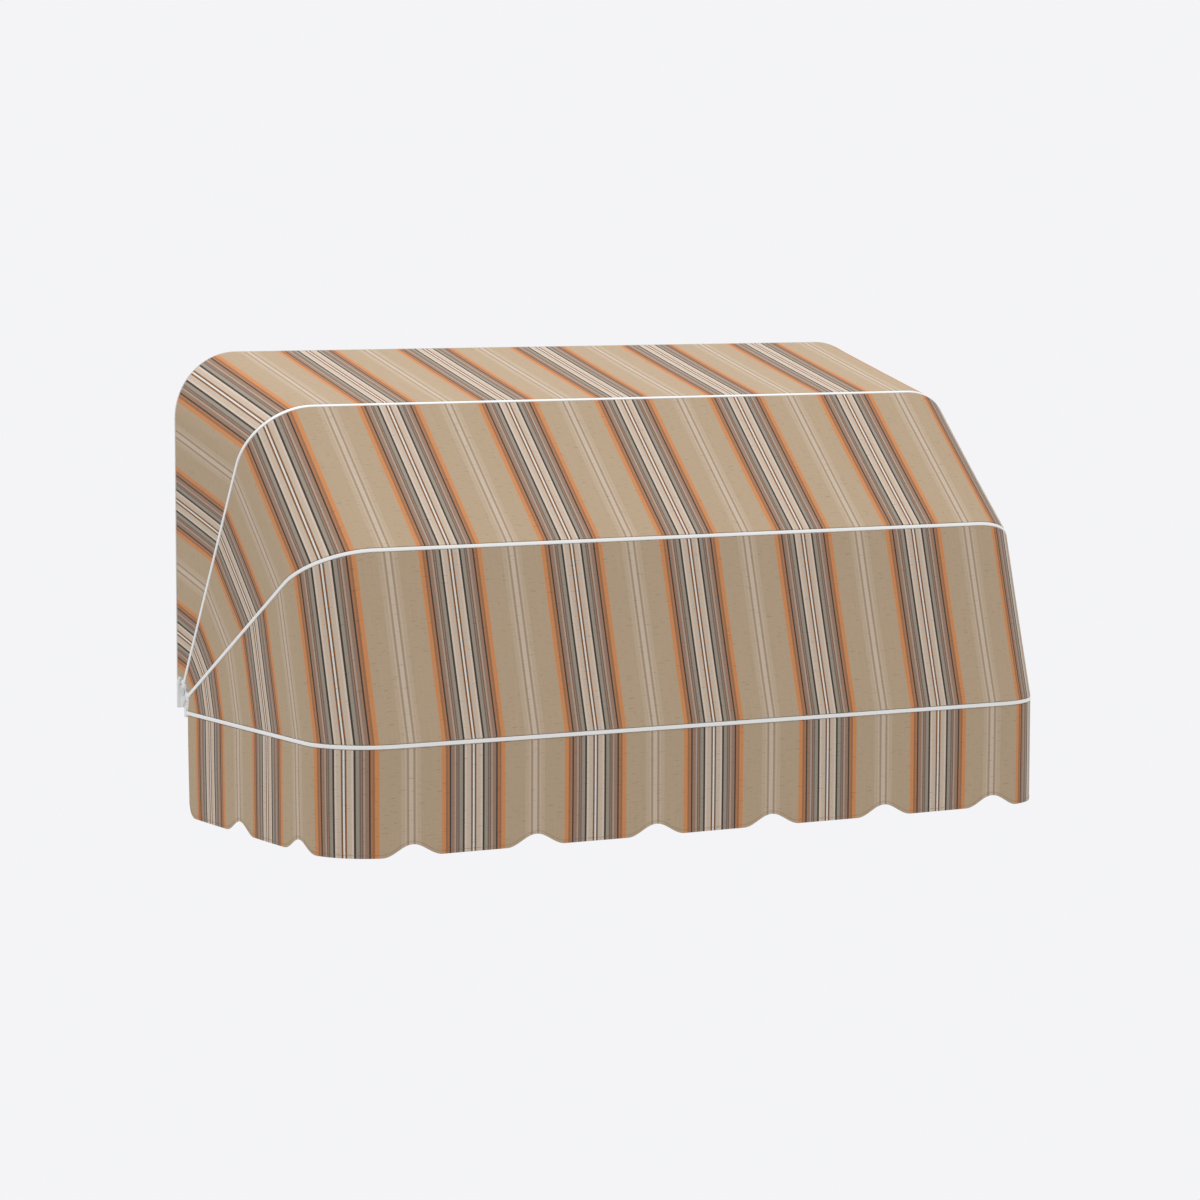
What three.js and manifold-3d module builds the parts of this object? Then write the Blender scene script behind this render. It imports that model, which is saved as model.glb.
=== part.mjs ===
// A folding basket awning for a window: a bow fixed to the wall and three hinged bows, fanned
// out 30 degrees apart, with striped cloth stretched between them and a scalloped valance.
// Millimetres. +X runs along the wall, +Y into the wall and +Z up.
// The origin is on the wall, in the middle of the back of the wall bow's top bar.

import * as THREE from "three";
import { mergeVertices } from "three/addons/utils/BufferGeometryUtils.js";
import Module from "manifold-3d";

const wasm = await Module();
wasm.setup();

// Overall sizes
const AWNING_WIDTH = 1500;
const BOW_CORNER_RADIUS = 121;
const WALL_BOW_REACH = 618;
const UPPER_BOW_REACH = 614;
const MIDDLE_BOW_REACH = 618;
const FRONT_BOW_REACH = 635;
const OPEN_STEP = THREE.MathUtils.degToRad(30);

// The extruded section of the bows: r is measured outwards from the outer face
const BOW_DEPTH = 16;
const BOW_HEIGHT = 20;
const BOW_WALL = 1.6;
const WALL_BOW_DEPTH = 9;
const BOW_GAP = 2;
const BOW_EDGE = 1.5;
const RIB_EDGE = 0.6;
const WALL_LIP = 1.5;
const MOUTH_WIDTH = 2.2;
const CHANNEL_RADIUS = 2.5;
const CHANNEL_DEPTH = 5.4;
const CHANNEL_WALL = 0.9;
const WALL_CHANNEL_SHIFT = 1.3;
const SHOULDER_DROP = 1.9;
const SHOULDER_SLOPE = 1.9;
const CORNER_STEPS = 8;
const CHANNEL_STEPS = 6;

// Cloth and welt cords
const CLOTH = 1;
const CLOTH_SINK = 0.2;
const WELT_SLACK = 0.4;
const WELT_SIDES = 6;
const VALANCE_DROP = 190;
const SCALLOP_LENGTH = 241.7;
const NOTCH_WIDTH = 82;
const NOTCH_RAISE = 22;
const NOTCH_STEPS = 6;
const VALANCE_CORNER = 25;
const VALANCE_CORNER_STEPS = 4;
const CLOTH_FOOT_RAISE = 6;

// Hinges
const FIT = 0.3;
const PIN_RADIUS = 4;
const PIN_HEAD_RADIUS = 7;
const PIN_HEAD_HEIGHT = 3.2;
const PIN_HEAD_RIM = 1.1;
const PIN_HEAD_CROWN_RADIUS = 5.2;
const PIN_HEAD_CROWN_DROP = 0.5;
const PIN_CHAMFER = 1;
const KNUCKLE_THICKNESS = 6;
const KNUCKLE_GAP = 0.5;
const KNUCKLE_RADIUS = 11;
const KNUCKLE_FILLET = 2;
const SOCKET_START = 14;
const SOCKET_LENGTH = 8;
const SPIGOT_LENGTH = 28;
const LUG_THICKNESS = 4.5;
const LUG_RADIUS = 12;
const PLATE_THICKNESS = 5;
const PLATE_DOWN = 30;
const PLATE_INNER_WING = 20;
const WALL_HOLE_RADIUS = 2.75;
const WALL_HOLE_SINK_RADIUS = 5.5;
const WALL_HOLE_SPACING = 26;
const WASHER_RADIUS = 8;
const WASHER_THICKNESS = 1.6;
const NUT_ACROSS_FLATS = 13;
const NUT_HEIGHT = 6;
const PIN_TAIL = 1.5;
const ARM_SCREW = {
  radius: 2,
  headRadius: 3.8,
  crownRadius: 2.6,
  headHeight: 2.2,
  rim: 0.8,
  length: 7,
  point: 1,
};
const ARM_SCREW_RAISE = 12;
const SCREW_SIDES = 8;
const PIN_SIDES = 16;

// Clips under the wall bow's top bar
const CLIP_WIDTH = 30;
const CLIP_THICKNESS = 2;
const CLIP_DROP = 32;
const CLIP_FROM_MIDDLE = 450;
const CLIP_SCREW = {
  radius: 1.5,
  headRadius: 2.7,
  crownRadius: 1.9,
  headHeight: 1.6,
  rim: 0.5,
  length: 7,
  point: 0.8,
};

// How far a cutting shape runs past the face that it cuts, how close two points are the same
// point, and the least length between two stations of a cloth edge
const OVERCUT = 1;
const WELD = 1e-4;
const LEAST_STEP = 1;

// Worked out from the sizes above
const HALF_WIDTH = AWNING_WIDTH / 2;
const HALF_DEPTH = BOW_DEPTH / 2;
const STRAIGHT_HALF = HALF_WIDTH - BOW_CORNER_RADIUS;
const BOW_PITCH = BOW_DEPTH + BOW_GAP;
const HINGE_FROM_WALL = WALL_BOW_DEPTH + BOW_GAP + HALF_DEPTH;
const HINGE_Z = BOW_HEIGHT / 2 - WALL_BOW_REACH;
const SOCKET_END = SOCKET_START + SOCKET_LENGTH;
const BOW_FOOT = SOCKET_END + FIT;
const CLOTH_FOOT = BOW_FOOT + CLOTH_FOOT_RAISE;
const WELT_RADIUS = CHANNEL_RADIUS - WELT_SLACK;
const CLOTH_TUCK = CHANNEL_DEPTH - WELT_RADIUS - FIT;
const CHAMBER_TOP = CHANNEL_DEPTH + CHANNEL_RADIUS + BOW_WALL;
const CHAMBER_BOTTOM = BOW_HEIGHT - BOW_WALL;
const RIB_MOUTH = HALF_DEPTH - CHANNEL_WALL - CHANNEL_RADIUS;
const RIB_WIDTH = 2 * RIB_MOUTH - MOUTH_WIDTH;
const WALL_MOUTH = WALL_LIP + MOUTH_WIDTH / 2;
const ARM_SCREW_PLACE = BOW_FOOT + ARM_SCREW_RAISE;
const CLIP_TOP = WALL_BOW_REACH - BOW_HEIGHT - FIT;
const CLIP_SCREW_Y = HINGE_FROM_WALL - CLIP_THICKNESS - FIT - CLIP_SCREW.headRadius;

// Each bow lies in a plane through the hinge axis that is moved aside by its offset, so that
// folded bows stack. mouths and channels are places across the section, from its own middle,
// or from the wall for the wall bow.
const WALL_BOW = {
  reach: WALL_BOW_REACH,
  turn: 0,
  offset: -HINGE_FROM_WALL,
  frontMouth: WALL_MOUTH,
  frontChannel: WALL_MOUTH + WALL_CHANNEL_SHIFT,
};
const UPPER_BOW = {
  reach: UPPER_BOW_REACH,
  turn: OPEN_STEP,
  offset: 0,
  frontMouth: RIB_MOUTH,
  rearMouth: -RIB_MOUTH,
  frontChannel: RIB_MOUTH,
  rearChannel: -RIB_MOUTH,
};
const MIDDLE_BOW = {
  ...UPPER_BOW,
  reach: MIDDLE_BOW_REACH,
  turn: 2 * OPEN_STEP,
  offset: BOW_PITCH,
};
const FRONT_BOW = {
  ...UPPER_BOW,
  reach: FRONT_BOW_REACH,
  turn: 3 * OPEN_STEP,
  offset: 2 * BOW_PITCH,
};

// The stack on each hinge pin, from the outside inwards: pin head, lug, front, middle and upper
// knuckles, lug. Each entry is how far its two faces lie inside the bows' outer faces.
const PIN_HEAD_OUT = 1;
const OUTER_LUG = slotAfter(PIN_HEAD_OUT + PIN_HEAD_HEIGHT, FIT, LUG_THICKNESS);
const FRONT_SLOT = slotAfter(OUTER_LUG.inner, KNUCKLE_GAP, KNUCKLE_THICKNESS);
const MIDDLE_SLOT = slotAfter(FRONT_SLOT.inner, KNUCKLE_GAP, KNUCKLE_THICKNESS);
const UPPER_SLOT = slotAfter(MIDDLE_SLOT.inner, KNUCKLE_GAP, KNUCKLE_THICKNESS);
const INNER_LUG = slotAfter(UPPER_SLOT.inner, KNUCKLE_GAP, LUG_THICKNESS);
const WASHER_SLOT = slotAfter(INNER_LUG.inner, FIT, WASHER_THICKNESS);
const NUT_SLOT = slotAfter(WASHER_SLOT.inner, FIT, NUT_HEIGHT);

function slotAfter(start, gap, thickness) {
  return { outer: start + gap, inner: start + gap + thickness };
}

// Materials
const WHITE_COAT = { color: 0xf4f4f1, roughness: 0.35, metalness: 0 };
const WHITE_CASTING = { color: 0xe6e6e2, roughness: 0.5, metalness: 0 };
const STEEL = { color: 0x8d9093, roughness: 0.35, metalness: 1 };
const AWNING_CLOTH = { color: 0xc6ad8b, roughness: 0.95, metalness: 0 };
const WELT_PLASTIC = { color: 0xe8e6df, roughness: 0.6, metalness: 0 };

function piece(name, geometry, finish) {
  const mesh = new THREE.Mesh(outward(geometry), new THREE.MeshStandardMaterial(finish));
  mesh.name = name;
  return mesh;
}

// Turns every face of a closed body to point out of it.
function outward(geometry) {
  const bare = geometry.clone();
  bare.deleteAttribute("normal");
  bare.deleteAttribute("uv");
  const body = mergeVertices(bare, WELD);
  const corner = [new THREE.Vector3(), new THREE.Vector3(), new THREE.Vector3()];
  const index = body.index;
  let volume = 0;
  for (let i = 0; i < index.count; i += 3) {
    corner.forEach((point, k) => point.fromBufferAttribute(body.attributes.position, index.getX(i + k)));
    volume += corner[0].dot(corner[1].clone().cross(corner[2]));
  }
  if (volume < 0) {
    for (let i = 0; i < index.count; i += 3) {
      const second = index.getX(i + 1);
      index.setX(i + 1, index.getX(i + 2));
      index.setX(i + 2, second);
    }
  }
  return body;
}

function toSolid(geometry) {
  const body = outward(geometry);
  return new wasm.Manifold(
    new wasm.Mesh({
      numProp: 3,
      vertProperties: new Float32Array(body.attributes.position.array),
      triVerts: new Uint32Array(body.index.array),
    }),
  );
}

function toGeometry(solid) {
  const { vertProperties, triVerts } = solid.getMesh();
  const geometry = new THREE.BufferGeometry();
  geometry.setAttribute("position", new THREE.BufferAttribute(vertProperties, 3));
  geometry.setIndex(new THREE.BufferAttribute(triVerts, 1));
  return geometry;
}

function joined(shapes, cuts = []) {
  const whole = shapes.map(toSolid).reduce((sum, shape) => sum.add(shape));
  return toGeometry(cuts.map(toSolid).reduce((rest, cut) => rest.subtract(cut), whole));
}

// Closes a body around matching rings of points. outline and holes are the flat section, and
// place gives the point in space of section point k at a station.
function sweep(outline, holes, stationCount, place) {
  const ccw = THREE.ShapeUtils.area(outline) > 0;
  const rings = [
    ccw ? [...outline] : [...outline].reverse(),
    ...holes.map((hole) => (THREE.ShapeUtils.area(hole) < 0 ? [...hole] : [...hole].reverse())),
  ];
  const points = rings.flat();
  const positions = [];
  for (let station = 0; station < stationCount; station += 1) {
    points.forEach((point) => positions.push(...place(station, point)));
  }
  const faces = [];
  let first = 0;
  for (const ring of rings) {
    for (let k = 0; k < ring.length; k += 1) {
      const here = first + k;
      const beside = first + ((k + 1) % ring.length);
      for (let start = 0; start < (stationCount - 1) * points.length; start += points.length) {
        const next = start + points.length;
        faces.push(start + here, start + beside, next + beside);
        faces.push(start + here, next + beside, next + here);
      }
    }
    first += ring.length;
  }
  const last = (stationCount - 1) * points.length;
  for (const [a, b, c] of THREE.ShapeUtils.triangulateShape(rings[0], rings.slice(1))) {
    faces.push(a, c, b);
    faces.push(last + a, last + b, last + c);
  }
  const geometry = new THREE.BufferGeometry();
  geometry.setAttribute("position", new THREE.Float32BufferAttribute(positions, 3));
  geometry.setIndex(faces);
  return geometry;
}

// The outer face of a bow in its own plane, from the left foot over both corners to the right
// foot: x, height above the hinge axis, the outward direction and the length along the bow,
// which is 0 in the middle of the bar.
function bowStations(bow, foot = BOW_FOOT) {
  const left = [footStation(bow, foot)];
  for (let k = 0; k <= CORNER_STEPS; k += 1) {
    left.push(cornerStation(bow, (k / CORNER_STEPS) * (Math.PI / 2)));
  }
  const right = left.map((at) => ({ ...at, x: -at.x, outX: -at.outX, along: -at.along }));
  return [...left, ...right.reverse()];
}

function footStation(bow, foot) {
  const arm = bow.reach - BOW_CORNER_RADIUS - foot;
  const along = -(STRAIGHT_HALF + (BOW_CORNER_RADIUS * Math.PI) / 2 + arm);
  return { x: -HALF_WIDTH, height: foot, outX: -1, outHeight: 0, along };
}

function cornerStation(bow, angle) {
  return {
    x: -STRAIGHT_HALF - BOW_CORNER_RADIUS * Math.cos(angle),
    height: bow.reach - BOW_CORNER_RADIUS + BOW_CORNER_RADIUS * Math.sin(angle),
    outX: -Math.cos(angle),
    outHeight: Math.sin(angle),
    along: -(STRAIGHT_HALF + BOW_CORNER_RADIUS * (Math.PI / 2 - angle)),
  };
}

// A place on the section at a station, with the bow upright over the hinge axis.
function uprightPoint(bow, at, across, r) {
  return [at.x + r * at.outX, -(bow.offset + across), at.height + r * at.outHeight];
}

// The same place on the open awning.
function openPoint(bow, at, across, r) {
  const point = new THREE.Vector3(...uprightPoint(bow, at, across, r));
  point.applyAxisAngle(new THREE.Vector3(1, 0, 0), bow.turn);
  return [point.x, point.y - HINGE_FROM_WALL, point.z + HINGE_Z];
}

// A welt channel: down the side of the rib, round the channel and up to the shoulder.
function channelOutline(mouth, channel) {
  const inner = mouth - MOUTH_WIDTH / 2;
  const outer = mouth + MOUTH_WIDTH / 2;
  const start = Math.acos((inner - channel) / CHANNEL_RADIUS);
  const end = 2 * Math.PI + Math.acos((outer - channel) / CHANNEL_RADIUS);
  const points = [];
  for (let k = 0; k <= CHANNEL_STEPS; k += 1) {
    const angle = start + ((end - start) * k) / CHANNEL_STEPS;
    points.push(
      new THREE.Vector2(
        channel + CHANNEL_RADIUS * Math.cos(angle),
        CHANNEL_RADIUS * Math.sin(angle) - CHANNEL_DEPTH,
      ),
    );
  }
  points.push(new THREE.Vector2(outer, -SHOULDER_DROP));
  return points;
}

// From the shoulder's outer edge down the flank to the inner face.
function flankOutline(side) {
  const edge = SHOULDER_DROP + SHOULDER_SLOPE;
  return [
    new THREE.Vector2(side - RIB_EDGE, RIB_EDGE - edge),
    new THREE.Vector2(side, -edge),
    new THREE.Vector2(side, BOW_EDGE - BOW_HEIGHT),
    new THREE.Vector2(side - BOW_EDGE, -BOW_HEIGHT),
  ];
}

function mirrored(points) {
  return points.map((point) => new THREE.Vector2(-point.x, point.y)).reverse();
}

function bowSection() {
  const half = [
    new THREE.Vector2(RIB_WIDTH / 2 - RIB_EDGE, 0),
    new THREE.Vector2(RIB_WIDTH / 2, -RIB_EDGE),
    ...channelOutline(RIB_MOUTH, RIB_MOUTH),
    ...flankOutline(HALF_DEPTH),
  ];
  return [...half, ...mirrored(half)];
}

function wallBowSection() {
  return [
    new THREE.Vector2(0, 0),
    new THREE.Vector2(WALL_LIP, 0),
    ...channelOutline(WALL_MOUTH, WALL_BOW.frontChannel),
    ...flankOutline(WALL_BOW_DEPTH),
    new THREE.Vector2(0, -BOW_HEIGHT),
  ];
}

function rectangle(left, right, bottom, top) {
  return [
    new THREE.Vector2(left, bottom),
    new THREE.Vector2(right, bottom),
    new THREE.Vector2(right, top),
    new THREE.Vector2(left, top),
  ];
}

function bentBow(bow, section, chamber) {
  const stations = bowStations(bow);
  return sweep(section, [chamber], stations.length, (station, point) =>
    uprightPoint(bow, stations[station], point.x, point.y),
  );
}

function movingBow(bow) {
  const side = HALF_DEPTH - BOW_WALL;
  const chamber = rectangle(-side, side, -CHAMBER_BOTTOM, -CHAMBER_TOP);
  return joined([bentBow(bow, bowSection(), chamber)], screwHoles(bow, 0));
}

function wallBow() {
  const chamber = rectangle(BOW_WALL, WALL_BOW_DEPTH - BOW_WALL, -CHAMBER_BOTTOM, -CHAMBER_TOP);
  const bow = bentBow(WALL_BOW, wallBowSection(), chamber);
  const barUnder = WALL_BOW_REACH - BOW_HEIGHT;
  const clipHole = rodUpwards(CLIP_SCREW.radius + FIT, barUnder - OVERCUT, barUnder + BOW_WALL + OVERCUT);
  const clipHoles = [-1, 1].map((side) =>
    clipHole.clone().translate(side * CLIP_FROM_MIDDLE, CLIP_SCREW_Y, 0),
  );
  return joined([bow], [...screwHoles(WALL_BOW, WALL_BOW_DEPTH / 2), ...clipHoles]);
}

// Holes in the inner faces of both arms for the screws that hold the fittings.
function screwHoles(bow, across) {
  return [-1, 1].map((side) => {
    const from = HALF_WIDTH - BOW_HEIGHT - OVERCUT;
    const hole = rodAlongX(ARM_SCREW.radius + FIT, from, HALF_WIDTH - CHAMBER_BOTTOM + OVERCUT);
    return placedOnSide(hole, side, bow.offset + across, ARM_SCREW_PLACE);
  });
}

// Shapes for the right-hand end are made at their x. placedOnSide mirrors them for the left,
// and moves them to a place across the folded stack and a height above the hinge axis.
function placedOnSide(geometry, side, across, height) {
  return geometry.clone().scale(side, 1, 1).translate(0, -across, height);
}

function rodAlongX(radius, from, to, sides = PIN_SIDES) {
  const rod = new THREE.CylinderGeometry(radius, radius, to - from, sides);
  return rod.rotateZ(Math.PI / 2).translate((from + to) / 2, 0, 0);
}

// A flat outline in the plane of folding, drawn across and up, with its thickness along X.
function plateAlongX(shape, from, to) {
  const plate = new THREE.ExtrudeGeometry(shape, { depth: to - from, bevelEnabled: false, curveSegments: 6 });
  return plate.applyMatrix4(new THREE.Matrix4().set(0, 0, 1, from, -1, 0, 0, 0, 0, 1, 0, 0, 0, 0, 0, 1));
}

function block(xFrom, xTo, acrossFrom, acrossTo, zFrom, zTo) {
  const box = new THREE.BoxGeometry(xTo - xFrom, acrossTo - acrossFrom, zTo - zFrom);
  return box.translate((xFrom + xTo) / 2, -(acrossFrom + acrossTo) / 2, (zFrom + zTo) / 2);
}

// The end of a bow's arm that a fitting fills: the chamber, less the fit.
function spigot(acrossFrom, acrossTo) {
  return block(
    HALF_WIDTH - CHAMBER_BOTTOM + FIT,
    HALF_WIDTH - CHAMBER_TOP - FIT,
    acrossFrom + FIT,
    acrossTo - FIT,
    SOCKET_START,
    SOCKET_END + SPIGOT_LENGTH,
  );
}

function spigotHole(across) {
  const tip = HALF_WIDTH - BOW_HEIGHT + ARM_SCREW.length;
  const hole = rodAlongX(ARM_SCREW.radius + FIT, HALF_WIDTH - CHAMBER_BOTTOM - OVERCUT, tip);
  return placedOnSide(hole, 1, across, ARM_SCREW_PLACE);
}

// The cheek of a cranked knuckle: an eye on the pin and an arm out to the bow's own offset.
function knuckleCheek(offset) {
  const inner = offset - HALF_DEPTH;
  const outer = offset + HALF_DEPTH;
  const shape = new THREE.Shape();
  if (offset === 0) {
    shape.moveTo(-HALF_DEPTH, SOCKET_END);
    shape.lineTo(-HALF_DEPTH, SOCKET_START);
    shape.lineTo(-KNUCKLE_RADIUS, 0);
    shape.absarc(0, 0, KNUCKLE_RADIUS, Math.PI, 2 * Math.PI, false);
    shape.lineTo(HALF_DEPTH, SOCKET_START);
    shape.lineTo(HALF_DEPTH, SOCKET_END);
    return shape;
  }
  shape.moveTo(0, KNUCKLE_RADIUS);
  shape.absarc(0, 0, KNUCKLE_RADIUS, Math.PI / 2, (3 * Math.PI) / 2, false);
  shape.lineTo(outer - HALF_DEPTH, -HALF_DEPTH);
  shape.absarc(outer - HALF_DEPTH, 0, HALF_DEPTH, -Math.PI / 2, 0, false);
  shape.lineTo(outer, SOCKET_END);
  shape.lineTo(inner, SOCKET_END);
  shape.lineTo(inner, KNUCKLE_RADIUS + KNUCKLE_FILLET);
  shape.absarc(
    inner - KNUCKLE_FILLET,
    KNUCKLE_RADIUS + KNUCKLE_FILLET,
    KNUCKLE_FILLET,
    0,
    -Math.PI / 2,
    true,
  );
  return shape;
}

function knuckle(bow, slot) {
  const inner = HALF_WIDTH - slot.inner;
  const outer = HALF_WIDTH - slot.outer;
  const side = HALF_DEPTH;
  const cheek = plateAlongX(knuckleCheek(bow.offset), inner, outer);
  const capInner = Math.min(inner, HALF_WIDTH - BOW_HEIGHT);
  const cap = block(capInner, HALF_WIDTH, bow.offset - side, bow.offset + side, SOCKET_START, SOCKET_END);
  const tongue = spigot(bow.offset - side + BOW_WALL, bow.offset + side - BOW_WALL);
  const bore = rodAlongX(PIN_RADIUS + FIT, inner - OVERCUT, outer + OVERCUT);
  return joined([cheek, cap, tongue], [bore, spigotHole(bow.offset)]);
}

// The bracket on the wall: a plate, two lugs for the pin and the wall bow's spigot.
function bracket() {
  const wall = -HINGE_FROM_WALL;
  const front = wall + PLATE_THICKNESS;
  const plateInner = HALF_WIDTH - INNER_LUG.inner - PLATE_INNER_WING;
  const plate = block(plateInner, HALF_WIDTH, wall, front, -PLATE_DOWN, SOCKET_END);
  const cap = block(
    HALF_WIDTH - BOW_HEIGHT,
    HALF_WIDTH,
    wall,
    wall + WALL_BOW_DEPTH,
    SOCKET_START,
    SOCKET_END,
  );
  const tongue = spigot(wall + BOW_WALL, wall + WALL_BOW_DEPTH - BOW_WALL);
  const lugs = [OUTER_LUG, INNER_LUG].map((slot) =>
    plateAlongX(lugOutline(), HALF_WIDTH - slot.inner, HALF_WIDTH - slot.outer),
  );
  const cuts = [
    rodAlongX(
      PIN_RADIUS + FIT,
      HALF_WIDTH - INNER_LUG.inner - OVERCUT,
      HALF_WIDTH - OUTER_LUG.outer + OVERCUT,
    ),
    spigotHole(wall + WALL_BOW_DEPTH / 2),
    ...wallHoles(plateInner + PLATE_INNER_WING / 2),
  ];
  return joined([plate, cap, tongue, ...lugs], cuts);
}

function lugOutline() {
  const wall = -HINGE_FROM_WALL;
  const foot = wall + OVERCUT;
  const shape = new THREE.Shape();
  shape.moveTo(0, LUG_RADIUS);
  shape.lineTo(foot, LUG_RADIUS);
  shape.lineTo(foot, -PLATE_DOWN);
  shape.lineTo(wall + PLATE_THICKNESS, -PLATE_DOWN);
  shape.lineTo(LUG_RADIUS * Math.cos(-Math.PI / 4), LUG_RADIUS * Math.sin(-Math.PI / 4));
  shape.absarc(0, 0, LUG_RADIUS, -Math.PI / 4, Math.PI / 2, false);
  return shape;
}

// Two countersunk holes in the bracket's inner wing, for screws into the wall.
function wallHoles(x) {
  const sink = WALL_HOLE_SINK_RADIUS - WALL_HOLE_RADIUS;
  const profile = [
    new THREE.Vector2(0, -OVERCUT),
    new THREE.Vector2(WALL_HOLE_RADIUS, -OVERCUT),
    new THREE.Vector2(WALL_HOLE_RADIUS, PLATE_THICKNESS - sink),
    new THREE.Vector2(WALL_HOLE_SINK_RADIUS, PLATE_THICKNESS),
    new THREE.Vector2(WALL_HOLE_SINK_RADIUS, PLATE_THICKNESS + OVERCUT),
    new THREE.Vector2(0, PLATE_THICKNESS + OVERCUT),
  ];
  const middle = (SOCKET_END - PLATE_DOWN) / 2;
  return [-1, 1].map((way) => {
    const hole = new THREE.LatheGeometry(profile, PIN_SIDES).rotateX(Math.PI);
    return hole.translate(x, HINGE_FROM_WALL, middle + (way * WALL_HOLE_SPACING) / 2);
  });
}

function hingePin() {
  const headTop = HALF_WIDTH - PIN_HEAD_OUT;
  const headUnder = headTop - PIN_HEAD_HEIGHT;
  const tail = HALF_WIDTH - NUT_SLOT.inner - PIN_TAIL;
  const profile = [
    new THREE.Vector2(0, tail),
    new THREE.Vector2(PIN_RADIUS - PIN_CHAMFER, tail),
    new THREE.Vector2(PIN_RADIUS, tail + PIN_CHAMFER),
    new THREE.Vector2(PIN_RADIUS, headUnder),
    new THREE.Vector2(PIN_HEAD_RADIUS, headUnder),
    new THREE.Vector2(PIN_HEAD_RADIUS, headUnder + PIN_HEAD_RIM),
    new THREE.Vector2(PIN_HEAD_CROWN_RADIUS, headTop - PIN_HEAD_CROWN_DROP),
    new THREE.Vector2(0, headTop),
  ];
  return new THREE.LatheGeometry(profile, PIN_SIDES).rotateZ(-Math.PI / 2);
}

function hingeWasher() {
  const disc = rodAlongX(WASHER_RADIUS, HALF_WIDTH - WASHER_SLOT.inner, HALF_WIDTH - WASHER_SLOT.outer);
  return joined([disc], [nutBore()]);
}

function hingeNut() {
  const across = NUT_ACROSS_FLATS / Math.sqrt(3);
  const hexagon = rodAlongX(across, HALF_WIDTH - NUT_SLOT.inner, HALF_WIDTH - NUT_SLOT.outer, 6);
  return joined([hexagon], [nutBore()]);
}

function nutBore() {
  const from = HALF_WIDTH - NUT_SLOT.inner - OVERCUT;
  return rodAlongX(PIN_RADIUS + FIT, from, HALF_WIDTH - INNER_LUG.inner + OVERCUT);
}

// A pan-head screw that points along +Y, with the seat of its head at the origin.
function panHeadScrew({ radius, headRadius, crownRadius, headHeight, rim, length, point }) {
  const profile = [
    new THREE.Vector2(0, -headHeight),
    new THREE.Vector2(crownRadius, -headHeight),
    new THREE.Vector2(headRadius, -rim),
    new THREE.Vector2(headRadius, 0),
    new THREE.Vector2(radius, 0),
    new THREE.Vector2(radius, length - point),
    new THREE.Vector2(0, length),
  ];
  return new THREE.LatheGeometry(profile, SCREW_SIDES);
}

// From the inside of an arm into its fitting.
function fittingScrew(bow, across) {
  const seat = HALF_WIDTH - BOW_HEIGHT - FIT;
  const screw = panHeadScrew(ARM_SCREW).rotateZ(-Math.PI / 2).translate(seat, 0, 0);
  return placedOnSide(screw, 1, bow.offset + across, ARM_SCREW_PLACE);
}

function welt(bow, channel) {
  const circle = [];
  for (let k = 0; k < WELT_SIDES; k += 1) {
    const angle = ((k + 0.5) / WELT_SIDES) * 2 * Math.PI;
    circle.push(
      new THREE.Vector2(
        channel + WELT_RADIUS * Math.cos(angle),
        WELT_RADIUS * Math.sin(angle) - CHANNEL_DEPTH,
      ),
    );
  }
  const stations = bowStations(bow);
  return sweep(circle, [], stations.length, (station, point) =>
    uprightPoint(bow, stations[station], point.x, point.y),
  );
}

// A cloth panel between two bows: tucked into the front mouth of one and the rear mouth of the
// next, and straight between them.
function clothPanel(rear, front) {
  const under = CLOTH_SINK + CLOTH;
  const section = [
    { bow: rear, across: rear.frontMouth - CLOTH / 2, r: -CLOTH_TUCK },
    { bow: rear, across: rear.frontMouth - CLOTH / 2, r: -CLOTH_SINK },
    { bow: front, across: front.rearMouth + CLOTH / 2, r: -CLOTH_SINK },
    { bow: front, across: front.rearMouth + CLOTH / 2, r: -CLOTH_TUCK },
    { bow: front, across: front.rearMouth - CLOTH / 2, r: -CLOTH_TUCK },
    { bow: front, across: front.rearMouth - CLOTH / 2, r: -under },
    { bow: rear, across: rear.frontMouth + CLOTH / 2, r: -under },
    { bow: rear, across: rear.frontMouth + CLOTH / 2, r: -CLOTH_TUCK },
  ];
  const span = front.reach * OPEN_STEP;
  const flat = section.map((corner) => {
    const point = new THREE.Vector2(corner.across + (corner.bow === front ? span : 0), corner.r);
    return Object.assign(point, { corner });
  });
  const stations = new Map([rear, front].map((bow) => [bow, bowStations(bow, CLOTH_FOOT)]));
  return sweep(flat, [], stations.get(rear).length, (station, { corner }) =>
    openPoint(corner.bow, stations.get(corner.bow)[station], corner.across, corner.r),
  );
}

// Stations of the valance: the bow's own, and those that its scalloped edge needs.
function valanceStations() {
  const stations = bowStations(FRONT_BOW, CLOTH_FOOT);
  const end = stations[stations.length - 1].along;
  const places = stations.map((at) => at.along);
  for (const middle of notchMiddles(end)) {
    for (let step = 0; step <= NOTCH_STEPS; step += 1) {
      places.push(middle + (step / NOTCH_STEPS - 0.5) * NOTCH_WIDTH);
    }
  }
  for (let step = 1; step <= VALANCE_CORNER_STEPS; step += 1) {
    const inwards = VALANCE_CORNER * (1 - Math.cos((step / VALANCE_CORNER_STEPS) * (Math.PI / 2)));
    places.push(inwards - end, end - inwards);
  }
  const sorted = places.sort((a, b) => a - b);
  const last = sorted.length - 1;
  const kept = sorted.filter(
    (along, k) => k === 0 || k === last || along - sorted[k - 1] > LEAST_STEP,
  );
  return kept.map((along) => stationBetween(stations, along));
}

// The middles of the notches, half a scallop off the middle of the bar, up to the last one that
// leaves room for the corner at the cloth's end.
function notchMiddles(end) {
  const middles = [];
  const last = end - VALANCE_CORNER - NOTCH_WIDTH / 2;
  for (let middle = SCALLOP_LENGTH / 2; middle <= last; middle += SCALLOP_LENGTH) {
    middles.push(-middle, middle);
  }
  return middles;
}

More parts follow.
